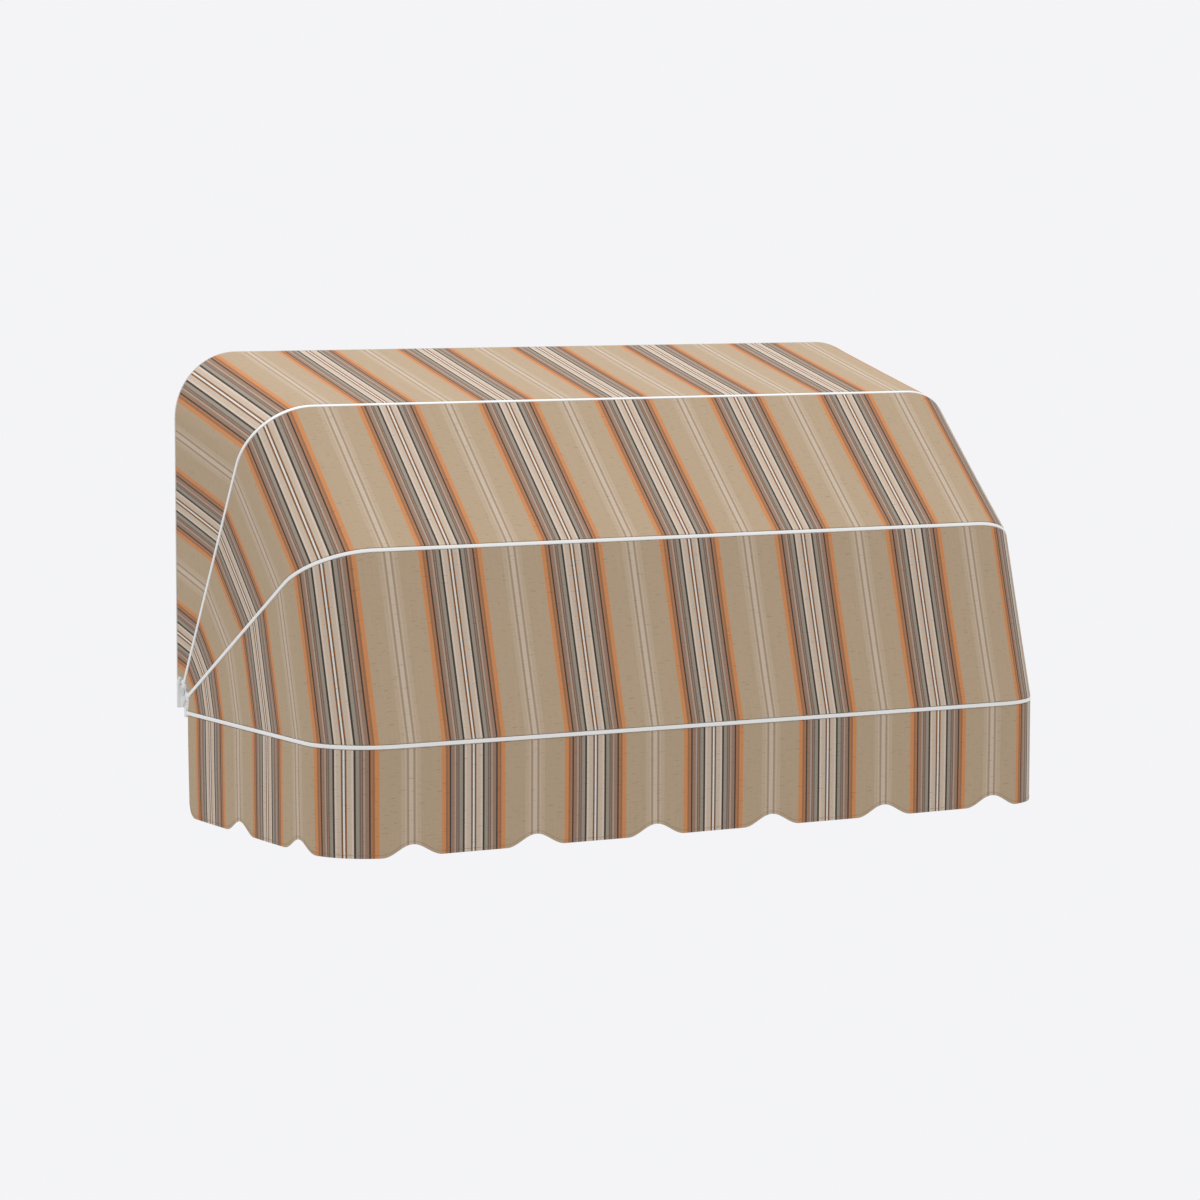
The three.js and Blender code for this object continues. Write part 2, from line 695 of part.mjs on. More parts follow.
function stationBetween(stations, along) {
  const after = Math.max(1, stations.findIndex((at) => at.along >= along - WELD));
  const from = stations[after - 1];
  const to = stations[after];
  const share = (along - from.along) / (to.along - from.along);
  return Object.fromEntries(Object.keys(from).map((key) => [key, from[key] + share * (to[key] - from[key])]));
}

// How far the valance's edge hangs below the rib: long straight lobes, a rounded notch raised
// between each two, and a quarter round at each end.
function valanceDrop(along, end) {
  const fromEnd = end - Math.abs(along);
  if (fromEnd < VALANCE_CORNER) {
    const inwards = VALANCE_CORNER - fromEnd;
    return VALANCE_DROP - VALANCE_CORNER + Math.sqrt(VALANCE_CORNER ** 2 - inwards ** 2);
  }
  const away = Math.min(...notchMiddles(end).map((middle) => Math.abs(along - middle)));
  const turn = Math.min((2 * Math.PI * away) / NOTCH_WIDTH, Math.PI);
  return VALANCE_DROP - (NOTCH_RAISE / 2) * (1 + Math.cos(turn));
}

function valance() {
  const under = CLOTH_SINK + CLOTH;
  const mouth = FRONT_BOW.frontMouth;
  const edge = VALANCE_DROP;
  const section = [
    new THREE.Vector2(mouth - CLOTH / 2, -CLOTH_TUCK),
    new THREE.Vector2(mouth - CLOTH / 2, -CLOTH_SINK),
    new THREE.Vector2(edge, -CLOTH_SINK),
    new THREE.Vector2(edge, -under),
    new THREE.Vector2(mouth + CLOTH / 2, -under),
    new THREE.Vector2(mouth + CLOTH / 2, -CLOTH_TUCK),
  ];
  const stations = valanceStations();
  const end = stations[stations.length - 1].along;
  return sweep(section, [], stations.length, (station, point) => {
    const at = stations[station];
    const across = point.x === edge ? valanceDrop(at.along, end) : point.x;
    return uprightPoint(FRONT_BOW, at, across, point.y);
  });
}

// An angle clip under the top bar: one leaf on the wall with a hole, and a shelf under the bar
// with a hole for its screw.
function topClip() {
  const half = CLIP_WIDTH / 2;
  const wall = -HINGE_FROM_WALL;
  const shelfUnder = CLIP_TOP - CLIP_THICKNESS;
  const shelf = block(-half, half, wall, wall + WALL_BOW_DEPTH, shelfUnder, CLIP_TOP);
  const leaf = block(-half, half, wall, wall + CLIP_THICKNESS, CLIP_TOP - CLIP_DROP, CLIP_TOP);
  const screwHole = rodUpwards(CLIP_SCREW.radius + FIT, shelfUnder - OVERCUT, CLIP_TOP + OVERCUT);
  const wallHole = rodUpwards(WALL_HOLE_RADIUS, -OVERCUT, CLIP_THICKNESS + OVERCUT).rotateX(Math.PI / 2);
  const wallHoleHeight = CLIP_TOP - (CLIP_DROP + CLIP_THICKNESS) / 2;
  return joined([shelf, leaf], [
    screwHole.translate(0, CLIP_SCREW_Y, 0),
    wallHole.translate(0, HINGE_FROM_WALL, wallHoleHeight),
  ]);
}

function clipScrew() {
  const seat = CLIP_TOP - CLIP_THICKNESS - FIT;
  return panHeadScrew(CLIP_SCREW).rotateX(Math.PI / 2).translate(0, CLIP_SCREW_Y, seat);
}

function rodUpwards(radius, from, to) {
  const rod = new THREE.CylinderGeometry(radius, radius, to - from, PIN_SIDES);
  return rod.rotateX(Math.PI / 2).translate(0, 0, (from + to) / 2);
}

const hingeAt = new THREE.Vector3(0, -HINGE_FROM_WALL, HINGE_Z);

function hoop(bow, meshes) {
  const group = new THREE.Group();
  group.position.copy(hingeAt);
  group.rotation.x = bow.turn;
  group.add(...meshes);
  return group;
}

// Shapes for the right-hand end, and their mirror images for the left.
function onBothSides(name, geometry, finish) {
  return [
    piece(`${name}_left`, geometry.clone().scale(-1, 1, 1), finish),
    piece(`${name}_right`, geometry, finish),
  ];
}

function movingHoop(name, bow, slot, extra) {
  return hoop(bow, [
    piece(`${name}_bow`, movingBow(bow), WHITE_COAT),
    ...onBothSides(`${name}_knuckle`, knuckle(bow, slot), WHITE_CASTING),
    ...onBothSides(`${name}_screw`, fittingScrew(bow, 0), STEEL),
    ...extra,
  ]);
}

const awning = new THREE.Group();
awning.add(
  hoop(WALL_BOW, [
    piece("wall_bow", wallBow(), WHITE_COAT),
    piece("rear_panel_wall_welt", welt(WALL_BOW, WALL_BOW.frontChannel), WELT_PLASTIC),
    ...onBothSides("hinge_bracket", bracket(), WHITE_CASTING),
    ...onBothSides("wall_screw", fittingScrew(WALL_BOW, WALL_BOW_DEPTH / 2), STEEL),
    ...onBothSides("hinge_pin", hingePin(), STEEL),
    ...onBothSides("hinge_washer", hingeWasher(), STEEL),
    ...onBothSides("hinge_nut", hingeNut(), STEEL),
    ...onBothSides("top_clip", topClip().translate(CLIP_FROM_MIDDLE, 0, 0), WHITE_CASTING),
    ...onBothSides("top_clip_screw", clipScrew().translate(CLIP_FROM_MIDDLE, 0, 0), STEEL),
  ]),
  movingHoop("upper", UPPER_BOW, UPPER_SLOT, [
    piece("rear_panel_upper_welt", welt(UPPER_BOW, UPPER_BOW.rearChannel), WELT_PLASTIC),
    piece("middle_panel_upper_welt", welt(UPPER_BOW, UPPER_BOW.frontChannel), WELT_PLASTIC),
  ]),
  movingHoop("middle", MIDDLE_BOW, MIDDLE_SLOT, [
    piece("middle_panel_middle_welt", welt(MIDDLE_BOW, MIDDLE_BOW.rearChannel), WELT_PLASTIC),
    piece("front_panel_middle_welt", welt(MIDDLE_BOW, MIDDLE_BOW.frontChannel), WELT_PLASTIC),
  ]),
  movingHoop("front", FRONT_BOW, FRONT_SLOT, [
    piece("front_panel_front_welt", welt(FRONT_BOW, FRONT_BOW.rearChannel), WELT_PLASTIC),
    piece("valance_welt", welt(FRONT_BOW, FRONT_BOW.frontChannel), WELT_PLASTIC),
    piece("valance", valance(), AWNING_CLOTH),
  ]),
  piece("rear_panel", clothPanel(WALL_BOW, UPPER_BOW), AWNING_CLOTH),
  piece("middle_panel", clothPanel(UPPER_BOW, MIDDLE_BOW), AWNING_CLOTH),
  piece("front_panel", clothPanel(MIDDLE_BOW, FRONT_BOW), AWNING_CLOTH),
);

export default awning;
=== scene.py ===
import math

import bmesh
import bpy
import numpy as np
from mathutils import Matrix, Vector


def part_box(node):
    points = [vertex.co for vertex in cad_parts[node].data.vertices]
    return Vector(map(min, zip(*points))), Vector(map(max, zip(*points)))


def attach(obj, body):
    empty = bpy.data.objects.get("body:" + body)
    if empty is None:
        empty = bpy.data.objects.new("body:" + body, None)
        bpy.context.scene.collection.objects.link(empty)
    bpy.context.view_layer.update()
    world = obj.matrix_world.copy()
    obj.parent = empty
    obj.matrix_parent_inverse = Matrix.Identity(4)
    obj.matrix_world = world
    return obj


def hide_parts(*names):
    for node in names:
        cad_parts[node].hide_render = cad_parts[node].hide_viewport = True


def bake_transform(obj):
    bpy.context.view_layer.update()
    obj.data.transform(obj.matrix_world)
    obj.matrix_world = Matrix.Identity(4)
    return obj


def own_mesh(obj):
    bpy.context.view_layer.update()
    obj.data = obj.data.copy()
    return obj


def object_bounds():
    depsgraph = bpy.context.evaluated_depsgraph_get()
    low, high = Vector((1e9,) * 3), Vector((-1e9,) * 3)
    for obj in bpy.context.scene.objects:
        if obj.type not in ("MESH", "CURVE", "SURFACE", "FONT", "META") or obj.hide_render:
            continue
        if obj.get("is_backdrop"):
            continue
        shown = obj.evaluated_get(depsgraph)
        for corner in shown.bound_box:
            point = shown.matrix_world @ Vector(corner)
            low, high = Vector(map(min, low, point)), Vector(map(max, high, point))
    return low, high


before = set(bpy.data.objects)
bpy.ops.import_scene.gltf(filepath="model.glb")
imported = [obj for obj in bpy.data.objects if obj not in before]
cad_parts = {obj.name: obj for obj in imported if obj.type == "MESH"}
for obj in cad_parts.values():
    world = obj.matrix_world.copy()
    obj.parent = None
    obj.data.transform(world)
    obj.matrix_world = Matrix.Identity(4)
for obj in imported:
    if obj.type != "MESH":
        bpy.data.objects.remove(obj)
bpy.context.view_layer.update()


# The camera stands left of the middle and a little higher than the awning's top, far enough off
# for the long sides to stay nearly parallel.
def new_object(name, data):
    """An object with the given data, put into the scene."""
    made = bpy.data.objects.new(name, data)
    bpy.context.scene.collection.objects.link(made)
    return made


camera_data = bpy.data.cameras.new("camera")
camera_data.sensor_width = 36
camera_data.lens = 121.05238
camera_data.clip_end = 60
camera = new_object("camera", camera_data)
camera.location = (-3.71488, -6.73881, 0.24199)
camera.rotation_euler = (1.4778746, -0.0008061, -0.5195647)
bpy.context.scene.camera = camera
bpy.context.scene.view_settings.view_transform = "Standard"


# Light: an even white sky, and one very soft lamp overhead, a little back over the wall, so the
# top is the brightest face and the hanging edge the darkest. The backdrop is a plain near-white.
def srgb(code):
    """A hex colour as the linear red, green, blue and alpha that the nodes take."""
    parts = [int(code[k : k + 2], 16) / 255 for k in (1, 3, 5)]
    return [c / 12.92 if c <= 0.04045 else ((c + 0.055) / 1.055) ** 2.4 for c in parts] + [1.0]


def add_node(tree, kind, settings=None, inputs=None):
    """Adds a node. An input is given a value, or the output that is linked to it."""
    node = tree.nodes.new(kind)
    for name, value in (settings or {}).items():
        setattr(node, name, value)
    for name, value in (inputs or {}).items():
        if isinstance(value, bpy.types.NodeSocket):
            tree.links.new(value, node.inputs[name])
        else:
            node.inputs[name].default_value = value
    return node


BACKDROP_COLOUR = srgb("#F4F4F7")
SKY_STRENGTH = 0.69
LAMP_STRENGTH = 1.56
LAMP_LEAN = math.radians(12)
LAMP_SOFTNESS = math.radians(50)
LAMP_PLACE = (0, 0.6, 3)

world = bpy.data.worlds.new("studio")
bpy.context.scene.world = world
world.use_nodes = True
sky = world.node_tree
sky.nodes.clear()
rays = add_node(sky, "ShaderNodeLightPath")
seen_or_mirrored = add_node(
    sky,
    "ShaderNodeMath",
    {"operation": "MAXIMUM"},
    {0: rays.outputs["Is Camera Ray"], 1: rays.outputs["Is Glossy Ray"]},
)
seen = add_node(
    sky,
    "ShaderNodeMath",
    {"operation": "MAXIMUM"},
    {0: seen_or_mirrored.outputs[0], 1: rays.outputs["Is Transmission Ray"]},
)
even_light = add_node(
    sky,
    "ShaderNodeBackground",
    None,
    {"Color": (1, 1, 1, 1), "Strength": SKY_STRENGTH},
)
backdrop = add_node(
    sky,
    "ShaderNodeBackground",
    None,
    {"Color": BACKDROP_COLOUR, "Strength": 1.0},
)
either = add_node(
    sky,
    "ShaderNodeMixShader",
    None,
    {0: seen.outputs[0], 1: even_light.outputs[0], 2: backdrop.outputs[0]},
)
add_node(sky, "ShaderNodeOutputWorld", None, {"Surface": either.outputs[0]})

lamp_data = bpy.data.lights.new("overhead_lamp", "SUN")
lamp_data.energy = LAMP_STRENGTH
lamp_data.angle = LAMP_SOFTNESS
lamp = new_object("overhead_lamp", lamp_data)
lamp.rotation_euler = (-LAMP_LEAN, 0, 0)
lamp.location = LAMP_PLACE


# The floor: a plain pale disc well below the awning, as under a window, that fades out before
# it comes into the photograph's view.
FLOOR_HEIGHT = -2.2
FLOOR_MIDDLE = -0.3
FLOOR_RADIUS = 2.0
FLOOR_SIDES = 96
FLOOR_FADE = 0.9


def new_material(name):
    """A material whose nodes are still to be added, and the tree that takes them."""
    material = bpy.data.materials.new(name)
    material.use_nodes = True
    material.node_tree.nodes.clear()
    return material, material.node_tree


bpy.ops.object.select_all(action="DESELECT")
bpy.ops.mesh.primitive_circle_add(vertices=FLOOR_SIDES, radius=FLOOR_RADIUS, fill_type="NGON")
floor = bpy.context.object
floor.name = "floor"
floor.data.transform(Matrix.Translation((0, FLOOR_MIDDLE, FLOOR_HEIGHT)))
floor_material, tree = new_material("pale_painted_floor")
place = add_node(tree, "ShaderNodeTexCoord")
spot = add_node(
    tree,
    "ShaderNodeMapping",
    None,
    {"Vector": place.outputs["Object"], "Location": (0, -FLOOR_MIDDLE, -FLOOR_HEIGHT)},
)
away = add_node(tree, "ShaderNodeVectorMath", {"operation": "LENGTH"}, {0: spot.outputs[0]})
fade = add_node(
    tree,
    "ShaderNodeMapRange",
    {"interpolation_type": "SMOOTHSTEP"},
    {
        "Value": away.outputs["Value"],
        "From Min": FLOOR_FADE,
        "From Max": FLOOR_RADIUS,
        "To Min": 0,
        "To Max": 1,
    },
)
matt = add_node(tree, "ShaderNodeBsdfDiffuse", None, {"Color": srgb("#F1F1F3")})
clear = add_node(tree, "ShaderNodeBsdfTransparent")
faded = add_node(
    tree,
    "ShaderNodeMixShader",
    None,
    {0: fade.outputs[0], 1: matt.outputs[0], 2: clear.outputs[0]},
)
add_node(tree, "ShaderNodeOutputMaterial", None, {"Surface": faded.outputs[0]})
floor.data.materials.append(floor_material)
floor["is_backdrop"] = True


# The four bows: one on the wall and three that fold. Each is an extruded aluminium bar, bent
# into a U and powder coated white, with a raised rib between two grooves that grip the cloth.
MM = 0.001
HALF_WIDTH = 750 * MM
CORNER_RADIUS = 121 * MM
STRAIGHT_HALF = HALF_WIDTH - CORNER_RADIUS
BOW_FOOT = 22.3 * MM
BOW_HEIGHT = 20 * MM
CORNER_STEPS = 24
ROUND_STEPS = 3
GROOVE_STEPS = 16
MERGE_DISTANCE = 0.001 * MM
BAR_SMOOTHING = math.radians(40)
# In millimetres: the groove that holds a welt, how deep its middle lies, and its narrow mouth.
GROOVE_RADIUS = 2.5
GROOVE_DEPTH = 5.4
MOUTH_WIDTH = 2.2
# In millimetres from the rib's middle: a folding bow's grooves, and the wall bow's one groove,
# whose mouth lies nearer to the rib.
FOLDING_GROOVE = 4.6
WALL_GROOVE = 3.9
WALL_MOUTH = 2.6
HINGE = Vector((0, -19 * MM, -608 * MM))

BOWS = {
    "wall_bow": {"reach": 618 * MM, "offset": -19 * MM, "turn": 0, "body": "frame"},
    "upper_bow": {"reach": 614 * MM, "offset": 0, "turn": 30, "body": "upper_hoop"},
    "middle_bow": {"reach": 618 * MM, "offset": 18 * MM, "turn": 60, "body": "middle_hoop"},
    "front_bow": {"reach": 635 * MM, "offset": 36 * MM, "turn": 90, "body": "front_hoop"},
}


def rounded(corners):
    """An outline, in millimetres, whose corners are rounded: each is across, height and radius."""
    points = []
    count = len(corners)
    for k, (x, y, radius) in enumerate(corners):
        corner = Vector((x, y))
        if radius == 0:
            points.append(corner)
            continue
        before = (Vector(corners[k - 1][:2]) - corner).normalized()
        after = (Vector(corners[(k + 1) % count][:2]) - corner).normalized()
        half = before.angle(after) / 2
        middle = corner + (before + after).normalized() * (radius / math.sin(half))
        start = corner + before * (radius / math.tan(half)) - middle
        end = corner + after * (radius / math.tan(half)) - middle
        turn = math.atan2(start.x * end.y - start.y * end.x, start.dot(end))
        for step in range(ROUND_STEPS + 1):
            points.append(middle + Matrix.Rotation(turn * step / ROUND_STEPS, 2) @ start)
    return points


def groove(mouth, channel):
    """The round groove for the welt, from the rib's side of its mouth to the shoulder's side."""
    start = math.acos((mouth - MOUTH_WIDTH / 2 - channel) / GROOVE_RADIUS)
    end = 2 * math.pi + math.acos((mouth + MOUTH_WIDTH / 2 - channel) / GROOVE_RADIUS)
    points = []
    for k in range(GROOVE_STEPS + 1):
        angle = start + (end - start) * k / GROOVE_STEPS
        across = channel + GROOVE_RADIUS * math.cos(angle)
        points.append((across, GROOVE_RADIUS * math.sin(angle) - GROOVE_DEPTH, 0))
    return points


folding_half = (
    [(3.2, 0, 0.7)]
    + groove(FOLDING_GROOVE, FOLDING_GROOVE)
    + [(5.7, -1.9, 0.25), (8, -3.8, 0.7), (8, -20, 1.6)]
)
folding_outline = folding_half + [(-x, y, radius) for x, y, radius in reversed(folding_half)]
wall_outline = (
    [(0, 0, 0.3), (1.5, 0, 0.3)]
    + groove(WALL_MOUTH, WALL_GROOVE)
    + [(3.7, -1.9, 0.25), (9, -3.8, 0.7), (9, -20, 1.6), (0, -20, 0.4)]
)


def opened(bow):
    """Turns what is drawn on an upright bow out to where the bow opens to, on its hinge."""
    return Matrix.Translation(HINGE) @ Matrix.Rotation(math.radians(bow["turn"]), 4, "X")


def bend_bow(name, bow, outline):
    """Draws the bar's outline at the foot of its left arm, runs it up the arm, spins it round
    the corner, and goes on over the top and down to the other foot."""
    section = rounded(outline)
    bpy.ops.object.select_all(action="DESELECT")
    bpy.ops.mesh.primitive_circle_add(vertices=len(section), fill_type="NGON")
    piece = bpy.context.object
    piece.name = name
    bpy.ops.object.mode_set(mode="EDIT")
    shape = bmesh.from_edit_mesh(piece.data)
    shape.verts.ensure_lookup_table()
    for vertex, point in zip(shape.verts, section):
        across, outward = point * MM
        vertex.co = (-HALF_WIDTH - outward, -(bow["offset"] + across), BOW_FOOT)
    bmesh.update_edit_mesh(piece.data)
    top = bow["reach"] - CORNER_RADIUS
    runs = [(0, 0, top - BOW_FOOT), (2 * STRAIGHT_HALF, 0, 0), (0, 0, BOW_FOOT - top)]
    for run, corner_side in zip(runs, (-1, 1, 0)):
        bpy.ops.mesh.extrude_region_move(TRANSFORM_OT_translate={"value": run})
        if corner_side:
            bpy.ops.mesh.spin(
                steps=CORNER_STEPS,
                angle=math.radians(90),
                center=(corner_side * STRAIGHT_HALF, 0, top),
                axis=(0, -1, 0),
            )
    bpy.ops.mesh.select_all(action="SELECT")
    bpy.ops.mesh.remove_doubles(threshold=MERGE_DISTANCE)
    bpy.ops.mesh.normals_make_consistent(inside=False)
    bpy.ops.object.mode_set(mode="OBJECT")
    piece.data.transform(opened(bow))
    bpy.ops.object.shade_smooth_by_angle(angle=BAR_SMOOTHING)
    return piece


# Powder-coated aluminium: sprayed polyester powder, baked. It gives a clean satin white with a
# faint orange peel, ripples about 2 mm apart, and soft broad highlights.
powder_coat, tree = new_material("powder_coated_aluminium")
place = add_node(tree, "ShaderNodeTexCoord")
peel = add_node(
    tree,
    "ShaderNodeTexNoise",
    None,
    {"Vector": place.outputs["Object"], "Scale": 1 / (2 * MM), "Detail": 1.5, "Roughness": 0.4},
)
# Handling leaves it a shade duller here and there, in patches about 60 mm wide.
patches = add_node(
    tree,
    "ShaderNodeTexNoise",
    None,
    {"Vector": place.outputs["Object"], "Scale": 1 / (60 * MM), "Detail": 3},
)
tone = add_node(tree, "ShaderNodeMix", {"data_type": "RGBA"}, {0: patches.outputs[0]})
tone.inputs[6].default_value = srgb("#FAFAF9")
tone.inputs[7].default_value = srgb("#F6F6F5")
peel_bump = add_node(
    tree,
    "ShaderNodeBump",
    None,
    {"Height": peel.outputs[0], "Strength": 0.25, "Distance": 0.04 * MM},
)
coat = add_node(
    tree,
    "ShaderNodeBsdfPrincipled",
    None,
    {
        "Base Color": tone.outputs[2],
        "Roughness": 0.38,
        "IOR": 1.5,
        "Normal": peel_bump.outputs[0],
    },
)
add_node(tree, "ShaderNodeOutputMaterial", None, {"Surface": coat.outputs[0]})

for name, bow in BOWS.items():
    outline = wall_outline if name == "wall_bow" else folding_outline
    bar = bend_bow(name.replace("_bow", "_bar"), bow, outline)
    bar.data.materials.append(powder_coat)
    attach(bar, bow["body"])
    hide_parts(name)


# The three cloth panels: solution-dyed acrylic canvas, 0.6 mm thick, sewn round a welt at both
# edges. Each is drawn tight from the groove of one bow to the next, round the corners and all.
CLOTH_THICKNESS = 0.6 * MM
CLOTH_SMOOTHING = math.radians(50)
CLOTH_FOOT = 28.3 * MM
USUAL_REACH = 618 * MM
PANEL_STEP = 15 * MM
FINE_STEP = 8 * MM
PANEL_ROWS = 22
# The hollow as a share of the span, and a slight waviness: its depth, its radians along a metre
# of the bow, and the span from which it has that depth.
PANEL_SAG = 0.002
WAVE_DEPTH = 0.3 * MM
WAVE_RATE = 23
WAVE_SPAN = 0.2
# Millimetres of cloth for each degree of the rear bow, so that no two panels' slubs match.
WEAVE_SHIFT = 7
FOLD_ANGLE = math.radians(30)
# How hard the folded cloth is pinched into the gap midway between two bows.
FOLD_PINCH = 17
# In millimetres across the bow and outwards from its rib: the way of the cloth from its welt
# through the groove's mouth to the shoulder.
WALL_TUCK = [(2.6, -3.6), (2.6, -2.4), (2.75, -1.8), (3.3, -1.5)]
FOLDING_TUCK = [(4.6, -3.3), (4.6, -2.1), (4.75, -1.4), (5.3, -1.0)]


def stations(reach, step):
    """Points along a bow from foot to foot: x, height, outward direction, and the length of bow
    from its middle. The counts don't depend on reach, so two bows' stations pair up."""
    arm = round((USUAL_REACH - CORNER_RADIUS - CLOTH_FOOT) / step)
    bar = round(2 * STRAIGHT_HALF / step)
    bend = CORNER_STEPS if step > FINE_STEP else 2 * CORNER_STEPS
    top = reach - CORNER_RADIUS
    half_bend = CORNER_RADIUS * math.pi / 2
    found = []
    for k in range(arm):
        height = CLOTH_FOOT + (top - CLOTH_FOOT) * k / arm
        found.append((-HALF_WIDTH, height, -1, 0, -(STRAIGHT_HALF + half_bend + top - height)))
    for k in range(bend):
        angle = math.radians(90) * k / bend
        out_x, out_height = -math.cos(angle), math.sin(angle)
        x = out_x * CORNER_RADIUS - STRAIGHT_HALF
        height = top + out_height * CORNER_RADIUS
        along = -(STRAIGHT_HALF + CORNER_RADIUS * (math.radians(90) - angle))
        found.append((x, height, out_x, out_height, along))
    middle = []
    for k in range(bar + 1):
        x = STRAIGHT_HALF * (2 * k / bar - 1)
        middle.append((x, reach, 0, 1, x))
    right = [(-x, h, -ox, oh, -u) for x, h, ox, oh, u in reversed(found)]
    return found + middle + right


def on_bow(bow, at, across, outward):
    """The open awning's point at a station of a bow, across it and outwards from its rib."""
    x, height, out_x, out_height, _ = at
    x += outward * out_x
    height += outward * out_height
    return opened(bow) @ Vector((x, -(bow["offset"] + across), height))


def sheet_mesh(name, grid, facts):
    """A sheet through a grid of points, rows by columns, with facts kept at each point."""
    rows, columns = len(grid), len(grid[0])
    mesh = bpy.data.meshes.new(name)
    faces = [
        (r * columns + c, r * columns + c + 1, (r + 1) * columns + c + 1, (r + 1) * columns + c)
        for r in range(rows - 1)
        for c in range(columns - 1)
    ]
    mesh.from_pydata([point for row in grid for point in row], [], faces)
    for fact, (kind, values) in facts.items():
        attribute = mesh.attributes.new(fact, kind, "POINT")
        flat = [value for row in values for value in row]
        if kind == "FLOAT_VECTOR":
            attribute.data.foreach_set("vector", [number for value in flat for number in value])
        else:
            attribute.data.foreach_set("value", flat)
    return new_object(name, mesh)


def select_only(piece):
    """Leaves one piece selected and active, for the operators that follow."""
    bpy.ops.object.select_all(action="DESELECT")
    bpy.context.view_layer.objects.active = piece
    piece.select_set(True)


def thicken(sheet, thickness, offset, group=""):
    """Gives a sheet its thickness, with the given offset from its own middle, and smooth faces.
    A group's weights make it thinner in places."""
    select_only(sheet)
    solid = sheet.modifiers.new("thickness", "SOLIDIFY")
    solid.thickness = thickness
    solid.offset = offset
    solid.vertex_group = group
    solid.use_even_offset = True
    bpy.ops.object.modifier_apply(modifier=solid.name)
    bpy.ops.object.shade_smooth_by_angle(angle=CLOTH_SMOOTHING)


def angle_on_hinge(point):
    """How far round the hinge a point lies, from straight up towards the front."""
    return math.atan2(-(point - HINGE).y, (point - HINGE).z)


def share_of_fold(point, low, high):
    """How much of the fold a point takes, between mouths that stand at the angles low and high.
    Folded up, all but the edges lies midway between the bows, down in the gap between them."""
    part = (angle_on_hinge(point) - low) / (high - low)
    side = 2 * part - 1
    pinched = (1 + math.copysign(min(abs(side), 1) ** FOLD_PINCH, side)) / 2
    folded = (part * (high - low) - pinched * (high - low - FOLD_ANGLE)) / FOLD_ANGLE
    return min(max(folded, 0), 1)


def stretch_panel(name, rear, front):
    """The cloth between two bows: up out of the rear bow's front groove, over its shoulder,
    straight to the next bow with a slight hollow, and down into that one's rear groove."""
    rear_stations = stations(rear["reach"], PANEL_STEP)
    front_stations = stations(front["reach"], PANEL_STEP)
    rear_tuck = WALL_TUCK if rear["turn"] == 0 else FOLDING_TUCK
    front_tuck = [(-a, r) for a, r in reversed(FOLDING_TUCK)]
    shares = [(1 - math.cos(math.pi * k / PANEL_ROWS)) / 2 for k in range(1, PANEL_ROWS)]
    mixes = [0.0] * len(rear_tuck) + shares + [1.0] * len(front_tuck)
    lines = []
    for at_rear, at_front in zip(rear_stations, front_stations):
        first = [on_bow(rear, at_rear, a * MM, r * MM) for a, r in rear_tuck]
        last = [on_bow(front, at_front, a * MM, r * MM) for a, r in front_tuck]
        start, end = first[-1], last[0]
        away = ((start - HINGE) + (end - HINGE)).normalized()
        inward = (-Vector((at_rear[2], 0, 0)) - away * at_rear[3]).normalized()
        span = (end - start).length
        wave = WAVE_DEPTH * math.sin(at_rear[4] * WAVE_RATE + 2 * rear["turn"])
        wave *= min(1, span / WAVE_SPAN)
        between = []
        for t in shares:
            hollow = PANEL_SAG * span * 4 * t * (1 - t) + wave * math.sin(math.pi * t)
            between.append(start.lerp(end, t) + inward * hollow)
        line = first + between + last
        low, high = angle_on_hinge(start), angle_on_hinge(end)
        turns, weave = [], []
        travelled = 0
        for k, (point, mix) in enumerate(zip(line, mixes)):
            if k:
                travelled += (point - line[k - 1]).length
            turns.append(share_of_fold(point, low, high) if 0 < mix < 1 else mix)
            along = at_rear[4] * (1 - mix) + at_front[4] * mix
            weave.append((along / MM, travelled / MM + WEAVE_SHIFT * rear["turn"], 0.0))
        lines.append((line, turns, weave))
    rows = range(len(lines[0][0]))
    panel = sheet_mesh(
        name,
        [[line[r] for line, _, _ in lines] for r in rows],
        {
            "weave": ("FLOAT_VECTOR", [[weave[r] for _, _, weave in lines] for r in rows]),
            "fold_share": ("FLOAT", [[turns[r] for _, turns, _ in lines] for r in rows]),
        },
    )
    thicken(panel, CLOTH_THICKNESS, 0)
    return panel


# Striped acrylic canvas: yarn dyed before weaving, so the stripes go right through the cloth.
# It gives the eye dead-matt bands of colour with a fine twill hatch and a few dark slubs.
# In millimetres: half the pattern, and how far apart the twill's lines and the threads are
# drawn. The slope and the depth are the twill's.
STRIPE_HALF_REPEAT = 120.854
TWILL_STEP = 3.2
THREAD_STEP = 1.2
TWILL_SLOPE = 0.6
TWILL_DEPTH = 0.10
YARNS = {
    "white": "#E9E2DA", "dark": "#4B4239", "ochre": "#A36B3C", "sand": "#D1BEAB",
    "cream": "#DECCBC", "stone": "#A3988A", "slate": "#8F877C", "umber": "#716459",
    "rosewood": "#A0816F", "chestnut": "#7F6453", "putty": "#B6A290", "copper": "#B57E58",
    "brick": "#9F7357", "orange": "#D6905D", "apricot": "#CA9C78", "beige": "#BEA78B",
    "oat": "#C4AF96", "biscuit": "#CDB8A2", "taupe": "#AB967E",
}
